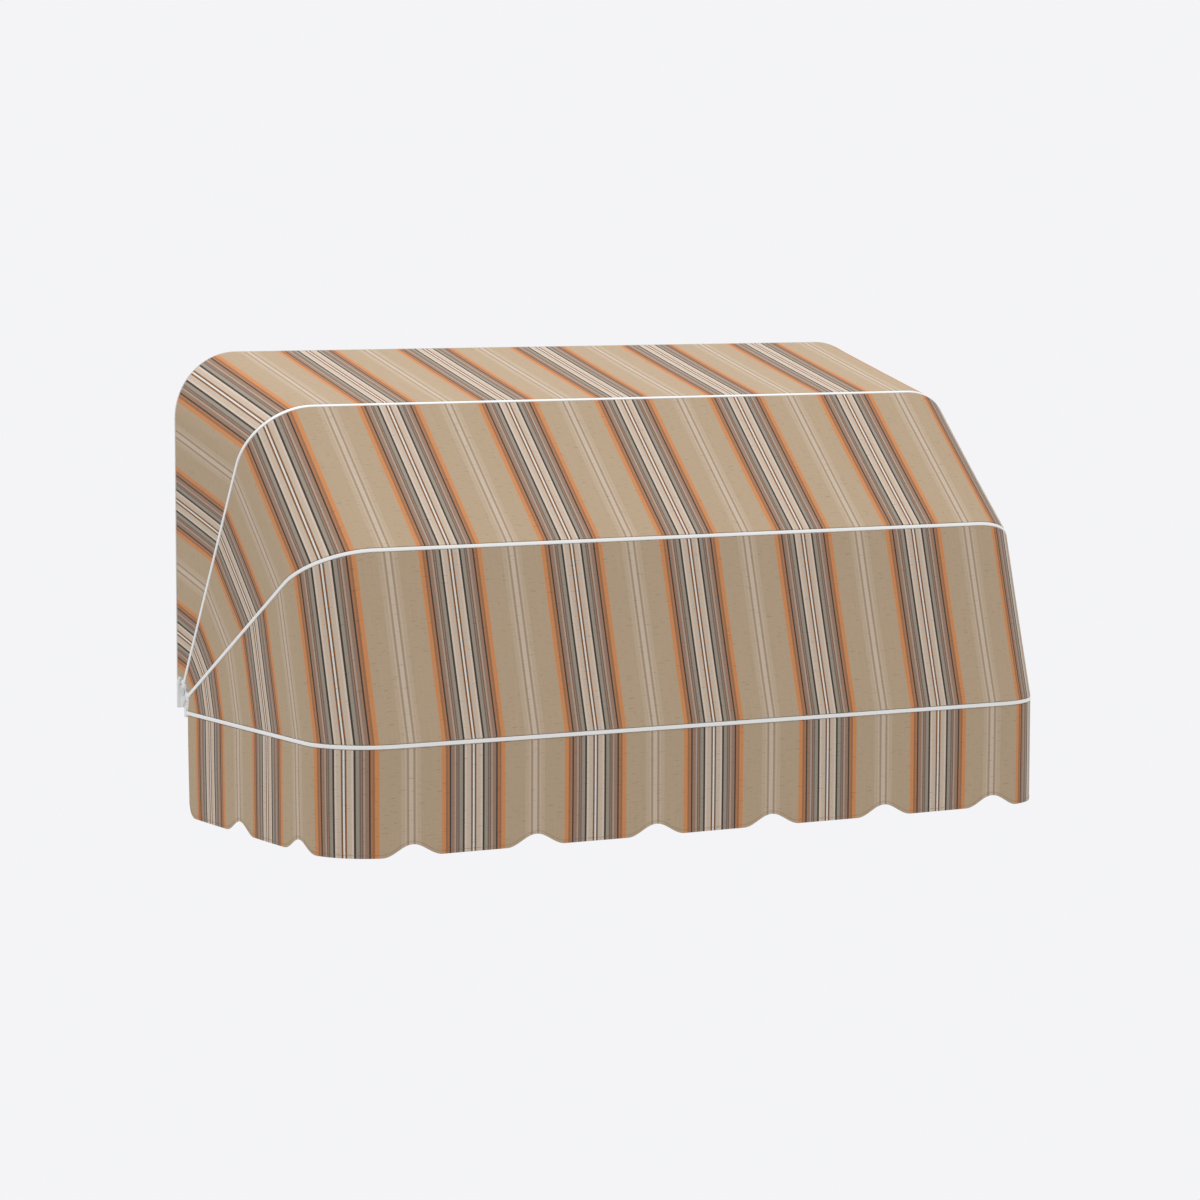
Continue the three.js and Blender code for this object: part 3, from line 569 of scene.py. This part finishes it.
# Each stripe's near edge, in millimetres from the middle of the white line, and its yarn.
STRIPES = [
    (0.0, "white"), (1.6, "dark"), (3.3, "ochre"), (5.0, "sand"), (13.5, "cream"),
    (17.4, "dark"), (21.1, "stone"), (26.8, "slate"), (27.9, "umber"), (29.4, "rosewood"),
    (31.9, "chestnut"), (33.7, "putty"), (36.9, "rosewood"), (43.6, "dark"),
    (46.4, "copper"), (50.2, "brick"), (52.9, "copper"), (54.1, "orange"),
    (60.9, "apricot"), (62.2, "beige"), (101.3, "oat"), (108.8, "biscuit"),
    (111.8, "beige"), (113.0, "taupe"), (116.3, "sand"),
]
# How strongly the twill shows, from each of these places on.
HATCHED = [
    (0.0, 0.0), (5.2, 0.5), (17.7, 0.2), (21.1, 1.0), (43.7, 0.2), (46.4, 0.6),
    (54.1, 0.15), (101.3, 0.3),
]

striped_cloth, tree = new_material("woven_acrylic_canvas")
# The weave attribute gives the cloth's own millimetres, across the stripes and down the cloth.
woven = add_node(
    tree,
    "ShaderNodeAttribute",
    {"attribute_type": "GEOMETRY", "attribute_name": "weave"},
)
axes = add_node(tree, "ShaderNodeSeparateXYZ", None, {0: woven.outputs["Vector"]})
across_stripes, down_cloth = axes.outputs[0], axes.outputs[1]
mirrored = add_node(
    tree,
    "ShaderNodeMath",
    {"operation": "PINGPONG"},
    {0: across_stripes, 1: STRIPE_HALF_REPEAT},
)
stripe_place = add_node(
    tree,
    "ShaderNodeMath",
    {"operation": "DIVIDE"},
    {0: mirrored.outputs[0], 1: STRIPE_HALF_REPEAT},
)


def fill_ramp(ramp, stops):
    """Sets a ramp's stops, places in millimetres from the white line and a colour for each."""
    ramp.interpolation = "CONSTANT"
    while len(ramp.elements) > 1:
        ramp.elements.remove(ramp.elements[-1])
    for k, (at, colour) in enumerate(stops):
        stop = ramp.elements[0] if k == 0 else ramp.elements.new(at / STRIPE_HALF_REPEAT)
        stop.position = at / STRIPE_HALF_REPEAT
        stop.color = colour


bands = add_node(tree, "ShaderNodeValToRGB", None, {0: stripe_place.outputs[0]})
fill_ramp(bands.color_ramp, [(at, srgb(YARNS[yarn])) for at, yarn in STRIPES])
hatched = add_node(tree, "ShaderNodeValToRGB", None, {0: stripe_place.outputs[0]})
fill_ramp(hatched.color_ramp, [(at, (amount, amount, amount, 1)) for at, amount in HATCHED])

# The twill's diagonal lines are 0.8 mm apart on the cloth: drawn 3.2 mm apart so that they show.
slant = add_node(
    tree,
    "ShaderNodeMath",
    {"operation": "MULTIPLY_ADD"},
    {0: down_cloth, 1: TWILL_SLOPE, 2: across_stripes},
)
slant_turn = add_node(
    tree,
    "ShaderNodeMath",
    {"operation": "MULTIPLY"},
    {0: slant.outputs[0], 1: 2 * math.pi / TWILL_STEP},
)
diagonal = add_node(tree, "ShaderNodeMath", {"operation": "SINE"}, {0: slant_turn.outputs[0]})
hatch_depth = add_node(
    tree,
    "ShaderNodeMath",
    {"operation": "MULTIPLY"},
    {0: hatched.outputs[0], 1: TWILL_DEPTH},
)
hatch = add_node(
    tree,
    "ShaderNodeMath",
    {"operation": "MULTIPLY_ADD"},
    {0: diagonal.outputs[0], 1: hatch_depth.outputs[0], 2: 1.0},
)

# Warp yarns vary a little along their length: streaks about 1 mm wide and 100 mm long.
streak_place = add_node(
    tree,
    "ShaderNodeVectorMath",
    {"operation": "MULTIPLY"},
    {0: woven.outputs["Vector"], 1: (0.9, 0.01, 0)},
)
streaks = add_node(
    tree,
    "ShaderNodeTexNoise",
    None,
    {"Vector": streak_place.outputs[0], "Scale": 1.0, "Detail": 2.0},
)
streak = add_node(
    tree,
    "ShaderNodeMapRange",
    None,
    {
        "Value": streaks.outputs[0],
        "From Min": 0.25,
        "From Max": 0.75,
        "To Min": 0.955,
        "To Max": 1.045,
    },
)

# Slubs: thick places in the weft, dark dashes about 10 mm long and 1.5 mm high.
slub_place = add_node(
    tree,
    "ShaderNodeVectorMath",
    {"operation": "MULTIPLY"},
    {0: woven.outputs["Vector"], 1: (1 / 17, 1 / 2.2, 0)},
)
slubs = add_node(
    tree,
    "ShaderNodeTexNoise",
    None,
    {"Vector": slub_place.outputs[0], "Scale": 1.0, "Detail": 1.0},
)
slub = add_node(
    tree,
    "ShaderNodeMapRange",
    None,
    {
        "Value": slubs.outputs[0],
        "From Min": 0.62,
        "From Max": 0.78,
        "To Min": 1.0,
        "To Max": 0.72,
    },
)
shade = hatch
for dimmer in (streak, slub):
    shade = add_node(
        tree,
        "ShaderNodeMath",
        {"operation": "MULTIPLY"},
        {0: shade.outputs[0], 1: dimmer.outputs[0]},
    )
coloured = add_node(
    tree,
    "ShaderNodeVectorMath",
    {"operation": "SCALE"},
    {0: bands.outputs[0], "Scale": shade.outputs[0]},
)

# The threads are 0.45 mm apart: drawn 1.2 mm apart, so that the bump is seen close up.
thread_place = add_node(
    tree,
    "ShaderNodeVectorMath",
    {"operation": "MULTIPLY"},
    {0: woven.outputs["Vector"], 1: (2 * math.pi / THREAD_STEP, 2 * math.pi / THREAD_STEP, 0)},
)
threads = add_node(
    tree,
    "ShaderNodeVectorMath",
    {"operation": "SINE"},
    {0: thread_place.outputs[0]},
)
thread_axes = add_node(tree, "ShaderNodeSeparateXYZ", None, {0: threads.outputs[0]})
over_under = add_node(
    tree,
    "ShaderNodeMath",
    {"operation": "MULTIPLY"},
    {0: thread_axes.outputs[0], 1: thread_axes.outputs[1]},
)
weave_bump = add_node(
    tree,
    "ShaderNodeBump",
    None,
    {"Height": over_under.outputs[0], "Strength": 0.35, "Distance": 0.08 * MM},
)
canvas = add_node(
    tree,
    "ShaderNodeBsdfPrincipled",
    None,
    {
        "Base Color": coloured.outputs[0],
        "Roughness": 0.92,
        "Specular IOR Level": 0.2,
        "Sheen Weight": 0.04,
        "Sheen Roughness": 0.6,
        "Normal": weave_bump.outputs[0],
    },
)
add_node(tree, "ShaderNodeOutputMaterial", None, {"Surface": canvas.outputs[0]})

PANELS = {
    "rear_canvas": ("rear_panel", "wall_bow", "upper_bow"),
    "middle_canvas": ("middle_panel", "upper_bow", "middle_bow"),
    "front_canvas": ("front_panel", "middle_bow", "front_bow"),
}
for name, (node, rear_name, front_name) in PANELS.items():
    rear, front = BOWS[rear_name], BOWS[front_name]
    panel = stretch_panel(name, rear, front)
    panel.data.materials.append(striped_cloth)
    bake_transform(panel)
    # Each point's share of the fold, its own share of the angle between the bows rather than of a
    # straight line, is read back from the cloth here; nothing in this script uses it.
    turning = np.zeros(len(panel.data.vertices), np.float32)
    panel.data.attributes["fold_share"].data.foreach_get("value", turning)
    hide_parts(node)


# The valance: a strip of the same canvas that hangs free under the front bar. Its edge is cut
# in long lobes with a rounded notch between each two, turned up 8 mm and sewn with one line.
# In millimetres: how far it hangs below the rib, its lobes and notches, and its end corners.
VALANCE_DROP = 191
SCALLOP_LENGTH = 241.7
NOTCH_WIDTH = 116
NOTCH_RAISE = 21
NOTCH_SHIFT = 3
VALANCE_CORNER = 25
VALANCE_STEP = 4 * MM
VALANCE_ROWS = 26
# Its way out of the groove, in millimetres across the bow and outwards from its rib.
VALANCE_TUCK = [(4.6, -3.0), (4.6, -1.7), (4.75, -1.0), (5.3, -0.6)]
# The hanging cloth stands in from the rib, and two waves along it add to that: how deep, how
# strong the second is beside the first, and how many millimetres to a radian of each.
VALANCE_SETBACK = 0.6
VALANCE_WAVE = 0.9
SECOND_WAVE = 0.6
FIRST_LENGTH = 71
SECOND_LENGTH = 43
VALANCE_WEAVE_SHIFT = 900
# The turned-up edge: its height, its rows in thirds of that, and where its stitches run. Its
# two layers are the full thickness, and the cloth above is half of it.
HEM = 8
HEM_ROWS = (0.08, 1, 2, 3)
HEM_LINE = 5.5
ONE_LAYER = 0.5
front_bow = BOWS["front_bow"]
valance_stations = stations(front_bow["reach"], VALANCE_STEP)
valance_end = valance_stations[-1][4] / MM
notches = []
notch = SCALLOP_LENGTH / 2
while notch <= valance_end - VALANCE_CORNER - NOTCH_WIDTH / 2:
    notches += [NOTCH_SHIFT - notch, NOTCH_SHIFT + notch]
    notch += SCALLOP_LENGTH


def valance_drop(along):
    """How far the edge hangs below the rib, in millimetres, at a length along the bow."""
    from_end = valance_end - abs(along)
    if from_end < VALANCE_CORNER:
        inwards = VALANCE_CORNER - from_end
        return VALANCE_DROP - VALANCE_CORNER + math.sqrt(max(0, VALANCE_CORNER**2 - inwards**2))
    away = min(abs(along - middle) for middle in notches)
    turn = min(2 * math.pi * away / NOTCH_WIDTH, math.pi)
    return VALANCE_DROP - NOTCH_RAISE / 2 * (1 + math.cos(turn))


def hanging(along, down):
    """How far the hanging cloth stands in from the rib, in millimetres: a slow wave that grows
    towards the edge, and never outside the bow's line."""
    swing = math.sin(along / FIRST_LENGTH) + SECOND_WAVE * math.sin(along / SECOND_LENGTH + 1)
    depth = VALANCE_WAVE * (down / VALANCE_DROP) ** 2
    return -VALANCE_SETBACK - depth * (1 + SECOND_WAVE + swing)


def valance_rows(drop):
    """Rows down the valance, as across and outward: the tuck, then even steps, then the hem."""
    top = VALANCE_TUCK[-1][0]
    fold = drop - HEM
    steps = [top + (fold - top) * k / VALANCE_ROWS for k in range(1, VALANCE_ROWS + 1)]
    steps += [fold + HEM * k / 3 for k in HEM_ROWS]
    return VALANCE_TUCK + [(down, None) for down in steps]


lines = []
for at in valance_stations:
    along = at[4] / MM
    drop = valance_drop(along)
    line, weave = [], []
    for down, outward in valance_rows(drop):
        outward = hanging(along, down) if outward is None else outward
        line.append(on_bow(front_bow, at, down * MM, outward * MM))
        weave.append((along, down + VALANCE_WEAVE_SHIFT, 0.0))
    lines.append((line, weave))
rows = range(len(lines[0][0]))
valance = sheet_mesh(
    "valance_canvas",
    [[line[r] for line, _ in lines] for r in rows],
    {"weave": ("FLOAT_VECTOR", [[weave[r] for _, weave in lines] for r in rows])},
)
thickness_group = valance.vertex_groups.new(name="hem")
columns = len(valance_stations)
hem_start = len(rows) - len(HEM_ROWS)
for r in rows:
    whole = list(range(r * columns, (r + 1) * columns))
    thickness_group.add(whole, 1.0 if r >= hem_start else ONE_LAYER, "REPLACE")
thicken(valance, 2 * CLOTH_THICKNESS, 1, "hem")
valance.vertex_groups.clear()
valance.data.materials.append(striped_cloth)
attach(valance, "front_hoop")
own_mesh(valance)
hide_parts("valance")


# The hem's stitching: one line of polyester thread, 3.5 mm to the stitch, that holds the
# turned-up edge and shows on both faces.
STITCH = 3.5
STITCH_END = 0.36 * STITCH
STITCH_SIDES = 6
# Such thread is about 0.45 mm thick: drawn 0.68 mm thick, so that the line of it shows.
THREAD_RADIUS = 0.34
THREAD_END_RADIUS = 0.55 * THREAD_RADIUS
THREAD_FLATNESS = 0.8
THREAD_RAISE = 0.12
TURNED_SMOOTHING = math.radians(35)

thread, tree = new_material("polyester_sewing_thread")
place = add_node(tree, "ShaderNodeTexCoord")
twist = add_node(
    tree,
    "ShaderNodeTexNoise",
    None,
    {"Vector": place.outputs["Object"], "Scale": 1 / (0.6 * MM), "Detail": 2.0},
)
# Spun thread: two plies twisted about 0.6 mm to the turn. Each stitch has a painted light and dark:
# a painted highlight on the twist's crests and painted shade in its grooves, mixed by the bump's
# noise.
twist_light_and_shade_tone = add_node(tree, "ShaderNodeMix", {"data_type": "RGBA"}, {0: twist.outputs[0]})
twist_light_and_shade_tone.inputs[6].default_value = srgb("#76644F")
twist_light_and_shade_tone.inputs[7].default_value = srgb("#9A846A")
thread_bump = add_node(
    tree,
    "ShaderNodeBump",
    None,
    {"Height": twist.outputs[0], "Strength": 0.5, "Distance": 0.1 * MM},
)
spun = add_node(
    tree,
    "ShaderNodeBsdfPrincipled",
    None,
    {"Base Color": twist_light_and_shade_tone.outputs[2], "Roughness": 0.6, "Normal": thread_bump.outputs[0]},
)
add_node(tree, "ShaderNodeOutputMaterial", None, {"Surface": spun.outputs[0]})


def turned_piece(name, profile, sides):
    """A turned piece along X: a disc is drawn out and opened or closed at each step of the
    profile, which gives distances along and radii in millimetres."""
    bpy.ops.object.select_all(action="DESELECT")
    start, radius = profile[0]
    bpy.ops.mesh.primitive_circle_add(vertices=sides, radius=radius * MM, fill_type="NGON")
    piece = bpy.context.object
    piece.name = name
    bpy.ops.object.mode_set(mode="EDIT")
    height = 0
    for along, wider in profile[1:]:
        bpy.ops.mesh.extrude_region_move(
            TRANSFORM_OT_translate={"value": (0, 0, (along - start) * MM - height)}
        )
        height = (along - start) * MM
        bpy.ops.transform.resize(value=(wider / radius,) * 2 + (1,), center_override=(0, 0, height))
        radius = wider
    bpy.ops.mesh.select_all(action="SELECT")
    bpy.ops.mesh.normals_make_consistent(inside=False)
    bpy.ops.object.mode_set(mode="OBJECT")
    along_x = Matrix.Rotation(math.radians(90), 4, "Y")
    piece.data.transform(Matrix.Translation((start * MM, 0, 0)) @ along_x)
    bpy.ops.object.shade_smooth_by_angle(angle=TURNED_SMOOTHING)
    return piece


def stitch_line(name, one):
    """Copies of one stitch on both faces of the valance, in a line that follows its edge."""
    edge = [(at[4] / MM, valance_drop(at[4] / MM) - HEM_LINE) for at in valance_stations]
    lengths = [0.0]
    for before, after in zip(edge, edge[1:]):
        lengths.append(lengths[-1] + math.dist(before, after))
    alongs, downs = zip(*edge)

    def cloth_point(length, outward):
        along = float(np.interp(length, lengths, alongs))
        down = float(np.interp(length, lengths, downs))
        k = min(max(int(np.searchsorted(alongs, along)), 1), len(alongs) - 1)
        t = (along - alongs[k - 1]) / (alongs[k] - alongs[k - 1])
        at = [p + (q - p) * t for p, q in zip(valance_stations[k - 1], valance_stations[k])]
        return on_bow(front_bow, at, down * MM, (hanging(along, down) + outward) * MM)

    line = bmesh.new()
    for face in (THREAD_RAISE, -2 * CLOTH_THICKNESS / MM - THREAD_RAISE):
        for k in range(int(lengths[-1] / STITCH)):
            middle = (k + 0.5) * STITCH
            centre = cloth_point(middle, face)
            along = (cloth_point(middle + 1, face) - cloth_point(middle - 1, face)).normalized()
            outward = (cloth_point(middle, face + 1) - centre).normalized()
            across = outward.cross(along).normalized()
            outward = along.cross(across)
            turn = Matrix((along, across, outward)).transposed().to_4x4()
            copy = one.data.copy()
            copy.transform(Matrix.Translation(centre) @ turn)
            line.from_mesh(copy)
            bpy.data.meshes.remove(copy)
    mesh = bpy.data.meshes.new(name)
    line.to_mesh(mesh)
    line.free()
    return new_object(name, mesh)


stitch = turned_piece(
    "stitch",
    [
        (-STITCH_END, THREAD_END_RADIUS),
        (-STITCH_END / 2, THREAD_RADIUS),
        (STITCH_END / 2, THREAD_RADIUS),
        (STITCH_END, THREAD_END_RADIUS),
    ],
    STITCH_SIDES,
)
stitch.data.transform(Matrix.Diagonal((1, 1, THREAD_FLATNESS, 1)))
hem_stitching = stitch_line("hem_stitching", stitch)
bpy.data.objects.remove(stitch)
hem_stitching.data.materials.append(thread)
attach(hem_stitching, "front_hoop")
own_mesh(hem_stitching)


# The cast fittings: a bracket on the wall and a cranked knuckle for each folding bow, on both
# sides, and two angle clips under the wall bar. Pressure-cast zinc, coated to match the bows.
FLAT_BELOW = math.radians(2)
EDGE_ABOVE = math.radians(35)

cast_white, tree = new_material("powder_coated_zinc_casting")
place = add_node(tree, "ShaderNodeTexCoord")
# The coat lies a little rougher over a casting: bumps about 0.9 mm apart.
grit = add_node(
    tree,
    "ShaderNodeTexNoise",
    None,
    {"Vector": place.outputs["Object"], "Scale": 1 / (0.9 * MM), "Detail": 2.0},
)
grit_bump = add_node(
    tree,
    "ShaderNodeBump",
    None,
    {"Height": grit.outputs[0], "Strength": 0.35, "Distance": 0.06 * MM},
)
cast_tone = add_node(tree, "ShaderNodeMix", {"data_type": "RGBA"}, {0: grit.outputs[0]})
cast_tone.inputs[6].default_value = srgb("#EDEDEC")
cast_tone.inputs[7].default_value = srgb("#F3F3F2")
cast_coat = add_node(
    tree,
    "ShaderNodeBsdfPrincipled",
    None,
    {"Base Color": cast_tone.outputs[2], "Roughness": 0.45, "Normal": grit_bump.outputs[0]},
)
add_node(tree, "ShaderNodeOutputMaterial", None, {"Surface": cast_coat.outputs[0]})


def finished_copy(name, node, bevel):
    """A fitting's own solid with its edges broken, as a casting or pressing leaves them."""
    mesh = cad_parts[node].data.copy()
    mesh.materials.clear()
    piece = new_object(name, mesh)
    select_only(piece)
    bpy.ops.object.mode_set(mode="EDIT")
    bpy.ops.mesh.select_all(action="SELECT")
    bpy.ops.mesh.remove_doubles(threshold=MERGE_DISTANCE)
    bpy.ops.mesh.dissolve_limited(angle_limit=FLAT_BELOW)
    bpy.ops.object.mode_set(mode="OBJECT")
    edge = piece.modifiers.new("edge", "BEVEL")
    edge.width = bevel * MM
    edge.segments = 2
    edge.limit_method = "ANGLE"
    edge.angle_limit = EDGE_ABOVE
    bpy.ops.object.modifier_apply(modifier=edge.name)
    bpy.ops.object.shade_smooth_by_angle(angle=BAR_SMOOTHING)
    return piece


# Each fitting's body, and how wide its edges are broken, in millimetres.
CASTINGS = {
    "hinge_bracket": ("frame", 0.6),
    "upper_knuckle": ("upper_hoop", 0.5),
    "middle_knuckle": ("middle_hoop", 0.5),
    "front_knuckle": ("front_hoop", 0.5),
    "top_clip": ("frame", 0.3),
}
for fitting, (body, bevel) in CASTINGS.items():
    for side in ("left", "right"):
        node = f"{fitting}_{side}"
        casting = finished_copy(f"{fitting}_casting_{side}", node, bevel)
        casting.data.materials.append(cast_white)
        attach(casting, body)
        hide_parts(node)


# The hinge pins, their washers and nuts, and the screws: steel, zinc plated and passivated,
# which gives a cool grey metal with a soft uneven shine.
zinc, tree = new_material("zinc_plated_steel")
place = add_node(tree, "ShaderNodeTexCoord")
# The plating's spangle: patches of lighter and darker grey about 1.5 mm across.
spangle = add_node(
    tree,
    "ShaderNodeTexNoise",
    None,
    {"Vector": place.outputs["Object"], "Scale": 1 / (1.5 * MM), "Detail": 3.0},
)
zinc_tone = add_node(tree, "ShaderNodeMix", {"data_type": "RGBA"}, {0: spangle.outputs[0]})
zinc_tone.inputs[6].default_value = srgb("#B9BBBD")
zinc_tone.inputs[7].default_value = srgb("#D5D7D9")
zinc_rough = add_node(
    tree,
    "ShaderNodeMapRange",
    None,
    {"Value": spangle.outputs[0], "To Min": 0.28, "To Max": 0.5},
)
plated = add_node(
    tree,
    "ShaderNodeBsdfPrincipled",
    None,
    {
        "Base Color": zinc_tone.outputs[2],
        "Metallic": 1.0,
        "Roughness": zinc_rough.outputs[0],
    },
)
add_node(tree, "ShaderNodeOutputMaterial", None, {"Surface": plated.outputs[0]})


PIN_SIDES = 40
# Distances from the awning's middle and radii, in millimetres, from the pin's end to its head.
PIN_PROFILE = [
    (705.3, 3.0), (706.3, 4.0), (745.8, 4.0), (745.8, 6.8), (746.0, 7.0), (746.9, 7.0),
    (747.6, 6.7), (748.2, 6.0), (748.6, 4.9), (748.9, 3.2), (749.0, 1.2),
]


def fitted(small, name, where, body, node):
    """A copy of a small plated piece, with a mesh of its own, brought to its place."""
    copy = new_object(name, small.data.copy())
    copy.data.transform(where)
    copy.data.materials.append(zinc)
    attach(copy, body)
    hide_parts(node)


pin = turned_piece("hinge_pin", PIN_PROFILE, PIN_SIDES)
for side, turn in (("left", 180), ("right", 0)):
    where = Matrix.Translation(HINGE) @ Matrix.Rotation(math.radians(turn), 4, "Z")
    fitted(pin, f"hinge_pin_turned_{side}", where, "frame", f"hinge_pin_{side}")
bpy.data.objects.remove(pin)

for small, bevel in (("hinge_washer", 0.2), ("hinge_nut", 0.4)):
    for side in ("left", "right"):
        node = f"{small}_{side}"
        piece = finished_copy(f"{small}_plated_{side}", node, bevel)
        piece.data.materials.append(zinc)
        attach(piece, "frame")
        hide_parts(node)


# The screws: pan heads with a cross recess, driven through the inner face of each arm into its
# fitting, and up through each clip into the wall bar.
SCREW_SIDES = 32
# Distances and radii, in millimetres, from the top of the head to the end.
ARM_SCREW = [
    (-2.2, 1.0), (-2.15, 1.9), (-1.9, 2.8), (-1.4, 3.45), (-0.8, 3.75), (-0.3, 3.8), (0, 3.8),
    (0, 2.0), (6.0, 2.0), (6.9, 0.4),
]
CLIP_SCREW = [
    (-1.6, 0.7), (-1.56, 1.4), (-1.35, 2.0), (-0.95, 2.5), (-0.5, 2.68), (0, 2.7),
    (0, 1.5), (6.2, 1.5), (6.9, 0.3),
]
# The heads bear on the arms' inner faces and on the undersides of the clips.
HEAD_GAP = 0.3 * MM
SCREW_SEAT = HALF_WIDTH - BOW_HEIGHT - HEAD_GAP
SCREW_RAISE = 34.3 * MM
CLIP_FROM_MIDDLE = 450 * MM
CLIP_THICKNESS = 2 * MM
CLIP_TOP = HINGE.z + 597.7 * MM
CLIP_SEAT = CLIP_TOP - CLIP_THICKNESS - HEAD_GAP
# The recess, in millimetres: the blade that cuts it, half of whose depth goes into the head, how
# narrow it gets there, and how long each arm of the cross is on the two kinds of screw.
RECESS_BLADE = 2.4
RECESS_WIDTH = 0.75
RECESS_TAPER = 0.55
ARM_RECESS = 4.2
CLIP_RECESS = 3.0
# Each arm screw's body and bow, and how far forward of the rib it stands.
SCREWS = {
    "wall_screw": ("frame", "wall_bow", 4.5 * MM),
    "upper_screw": ("upper_hoop", "upper_bow", 0),
    "middle_screw": ("middle_hoop", "middle_bow", 0),
    "front_screw": ("front_hoop", "front_bow", 0),
}


def crossed_screw(name, profile, slot_length):
    """A turned screw along X with its head at the low end, and a tapered cross cut in the head."""
    screw = turned_piece(name, profile, SCREW_SIDES)
    head = profile[0][0] * MM
    for turn in (0, 90):
        bpy.ops.object.select_all(action="DESELECT")
        bpy.ops.mesh.primitive_cube_add(size=1)
        blade = bpy.context.object
        blade.scale = (RECESS_BLADE * MM, slot_length * MM, RECESS_WIDTH * MM)
        blade.rotation_euler = (math.radians(turn), 0, 0)
        blade.location = (head, 0, 0)
        bpy.ops.object.transform_apply(location=True, rotation=True, scale=True)
        bpy.ops.object.mode_set(mode="EDIT")
        shape = bmesh.from_edit_mesh(blade.data)
        for vertex in shape.verts:
            if vertex.co.x > head:
                vertex.co.y *= RECESS_TAPER
                vertex.co.z *= RECESS_TAPER
        bmesh.update_edit_mesh(blade.data)
        bpy.ops.object.mode_set(mode="OBJECT")
        cut = screw.modifiers.new("recess", "BOOLEAN")
        cut.operation = "DIFFERENCE"
        cut.solver = "EXACT"
        cut.object = blade
        select_only(screw)
        bpy.ops.object.modifier_apply(modifier=cut.name)
        bpy.data.objects.remove(blade)
    bpy.ops.object.shade_smooth_by_angle(angle=TURNED_SMOOTHING)
    return screw


arm_screw = crossed_screw("arm_screw", ARM_SCREW, ARM_RECESS)
for kind, (body, bow_name, across) in SCREWS.items():
    bow = BOWS[bow_name]
    on_arm = Matrix.Translation((0, -(bow["offset"] + across), SCREW_RAISE))
    seat = Matrix.Translation((SCREW_SEAT, 0, 0))
    for side, turn in (("left", 180), ("right", 0)):
        where = opened(bow) @ on_arm @ Matrix.Rotation(math.radians(turn), 4, "Z") @ seat
        fitted(arm_screw, f"{kind}_plated_{side}", where, body, f"{kind}_{side}")
bpy.data.objects.remove(arm_screw)

clip_screw = crossed_screw("clip_screw", CLIP_SCREW, CLIP_RECESS)
for side, way in (("left", -1), ("right", 1)):
    node = f"top_clip_screw_{side}"
    low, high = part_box(node)
    spot = Matrix.Translation((way * CLIP_FROM_MIDDLE, (low.y + high.y) / 2, CLIP_SEAT))
    upwards = Matrix.Rotation(math.radians(-90), 4, "Y")
    fitted(clip_screw, f"top_clip_screw_plated_{side}", spot @ upwards, "frame", node)
bpy.data.objects.remove(clip_screw)


# The welts: soft PVC cords, 4.2 mm thick, sewn into the cloth's edges. They lie inside the bows'
# grooves, bent with them, and show only where a groove ends at a foot.
welt_plastic, tree = new_material("extruded_soft_pvc")
place = add_node(tree, "ShaderNodeTexCoord")
# Extruded PVC: a milky white with a faint waviness about 5 mm long.
flow = add_node(
    tree,
    "ShaderNodeTexNoise",
    None,
    {"Vector": place.outputs["Object"], "Scale": 1 / (5 * MM), "Detail": 2.0},
)
welt_tone = add_node(tree, "ShaderNodeMix", {"data_type": "RGBA"}, {0: flow.outputs[0]})
welt_tone.inputs[6].default_value = srgb("#DAD8D2")
welt_tone.inputs[7].default_value = srgb("#E6E4DE")
welt_bump = add_node(
    tree,
    "ShaderNodeBump",
    None,
    {"Height": flow.outputs[0], "Strength": 0.2, "Distance": 0.1 * MM},
)
pvc = add_node(
    tree,
    "ShaderNodeBsdfPrincipled",
    None,
    {"Base Color": welt_tone.outputs[2], "Roughness": 0.5, "Normal": welt_bump.outputs[0]},
)
add_node(tree, "ShaderNodeOutputMaterial", None, {"Surface": pvc.outputs[0]})

WELT_RADIUS = 2.1
WELT_SIDES = 16
# Each welt's bow, and which of its grooves.
WELTS = {
    "rear_panel_wall_welt": ("wall_bow", WALL_GROOVE),
    "rear_panel_upper_welt": ("upper_bow", -FOLDING_GROOVE),
    "middle_panel_upper_welt": ("upper_bow", FOLDING_GROOVE),
    "middle_panel_middle_welt": ("middle_bow", -FOLDING_GROOVE),
    "front_panel_middle_welt": ("middle_bow", FOLDING_GROOVE),
    "front_panel_front_welt": ("front_bow", -FOLDING_GROOVE),
    "valance_welt": ("front_bow", FOLDING_GROOVE),
}
for node, (bow_name, across) in WELTS.items():
    ring = []
    for k in range(WELT_SIDES):
        angle = 2 * math.pi * k / WELT_SIDES
        side = across + WELT_RADIUS * math.cos(angle)
        ring.append((side, WELT_RADIUS * math.sin(angle) - GROOVE_DEPTH, 0))
    cord = bend_bow(f"{node}_cord", BOWS[bow_name], ring)
    cord.data.materials.append(welt_plastic)
    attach(cord, BOWS[bow_name]["body"])
    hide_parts(node)


low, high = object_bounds()
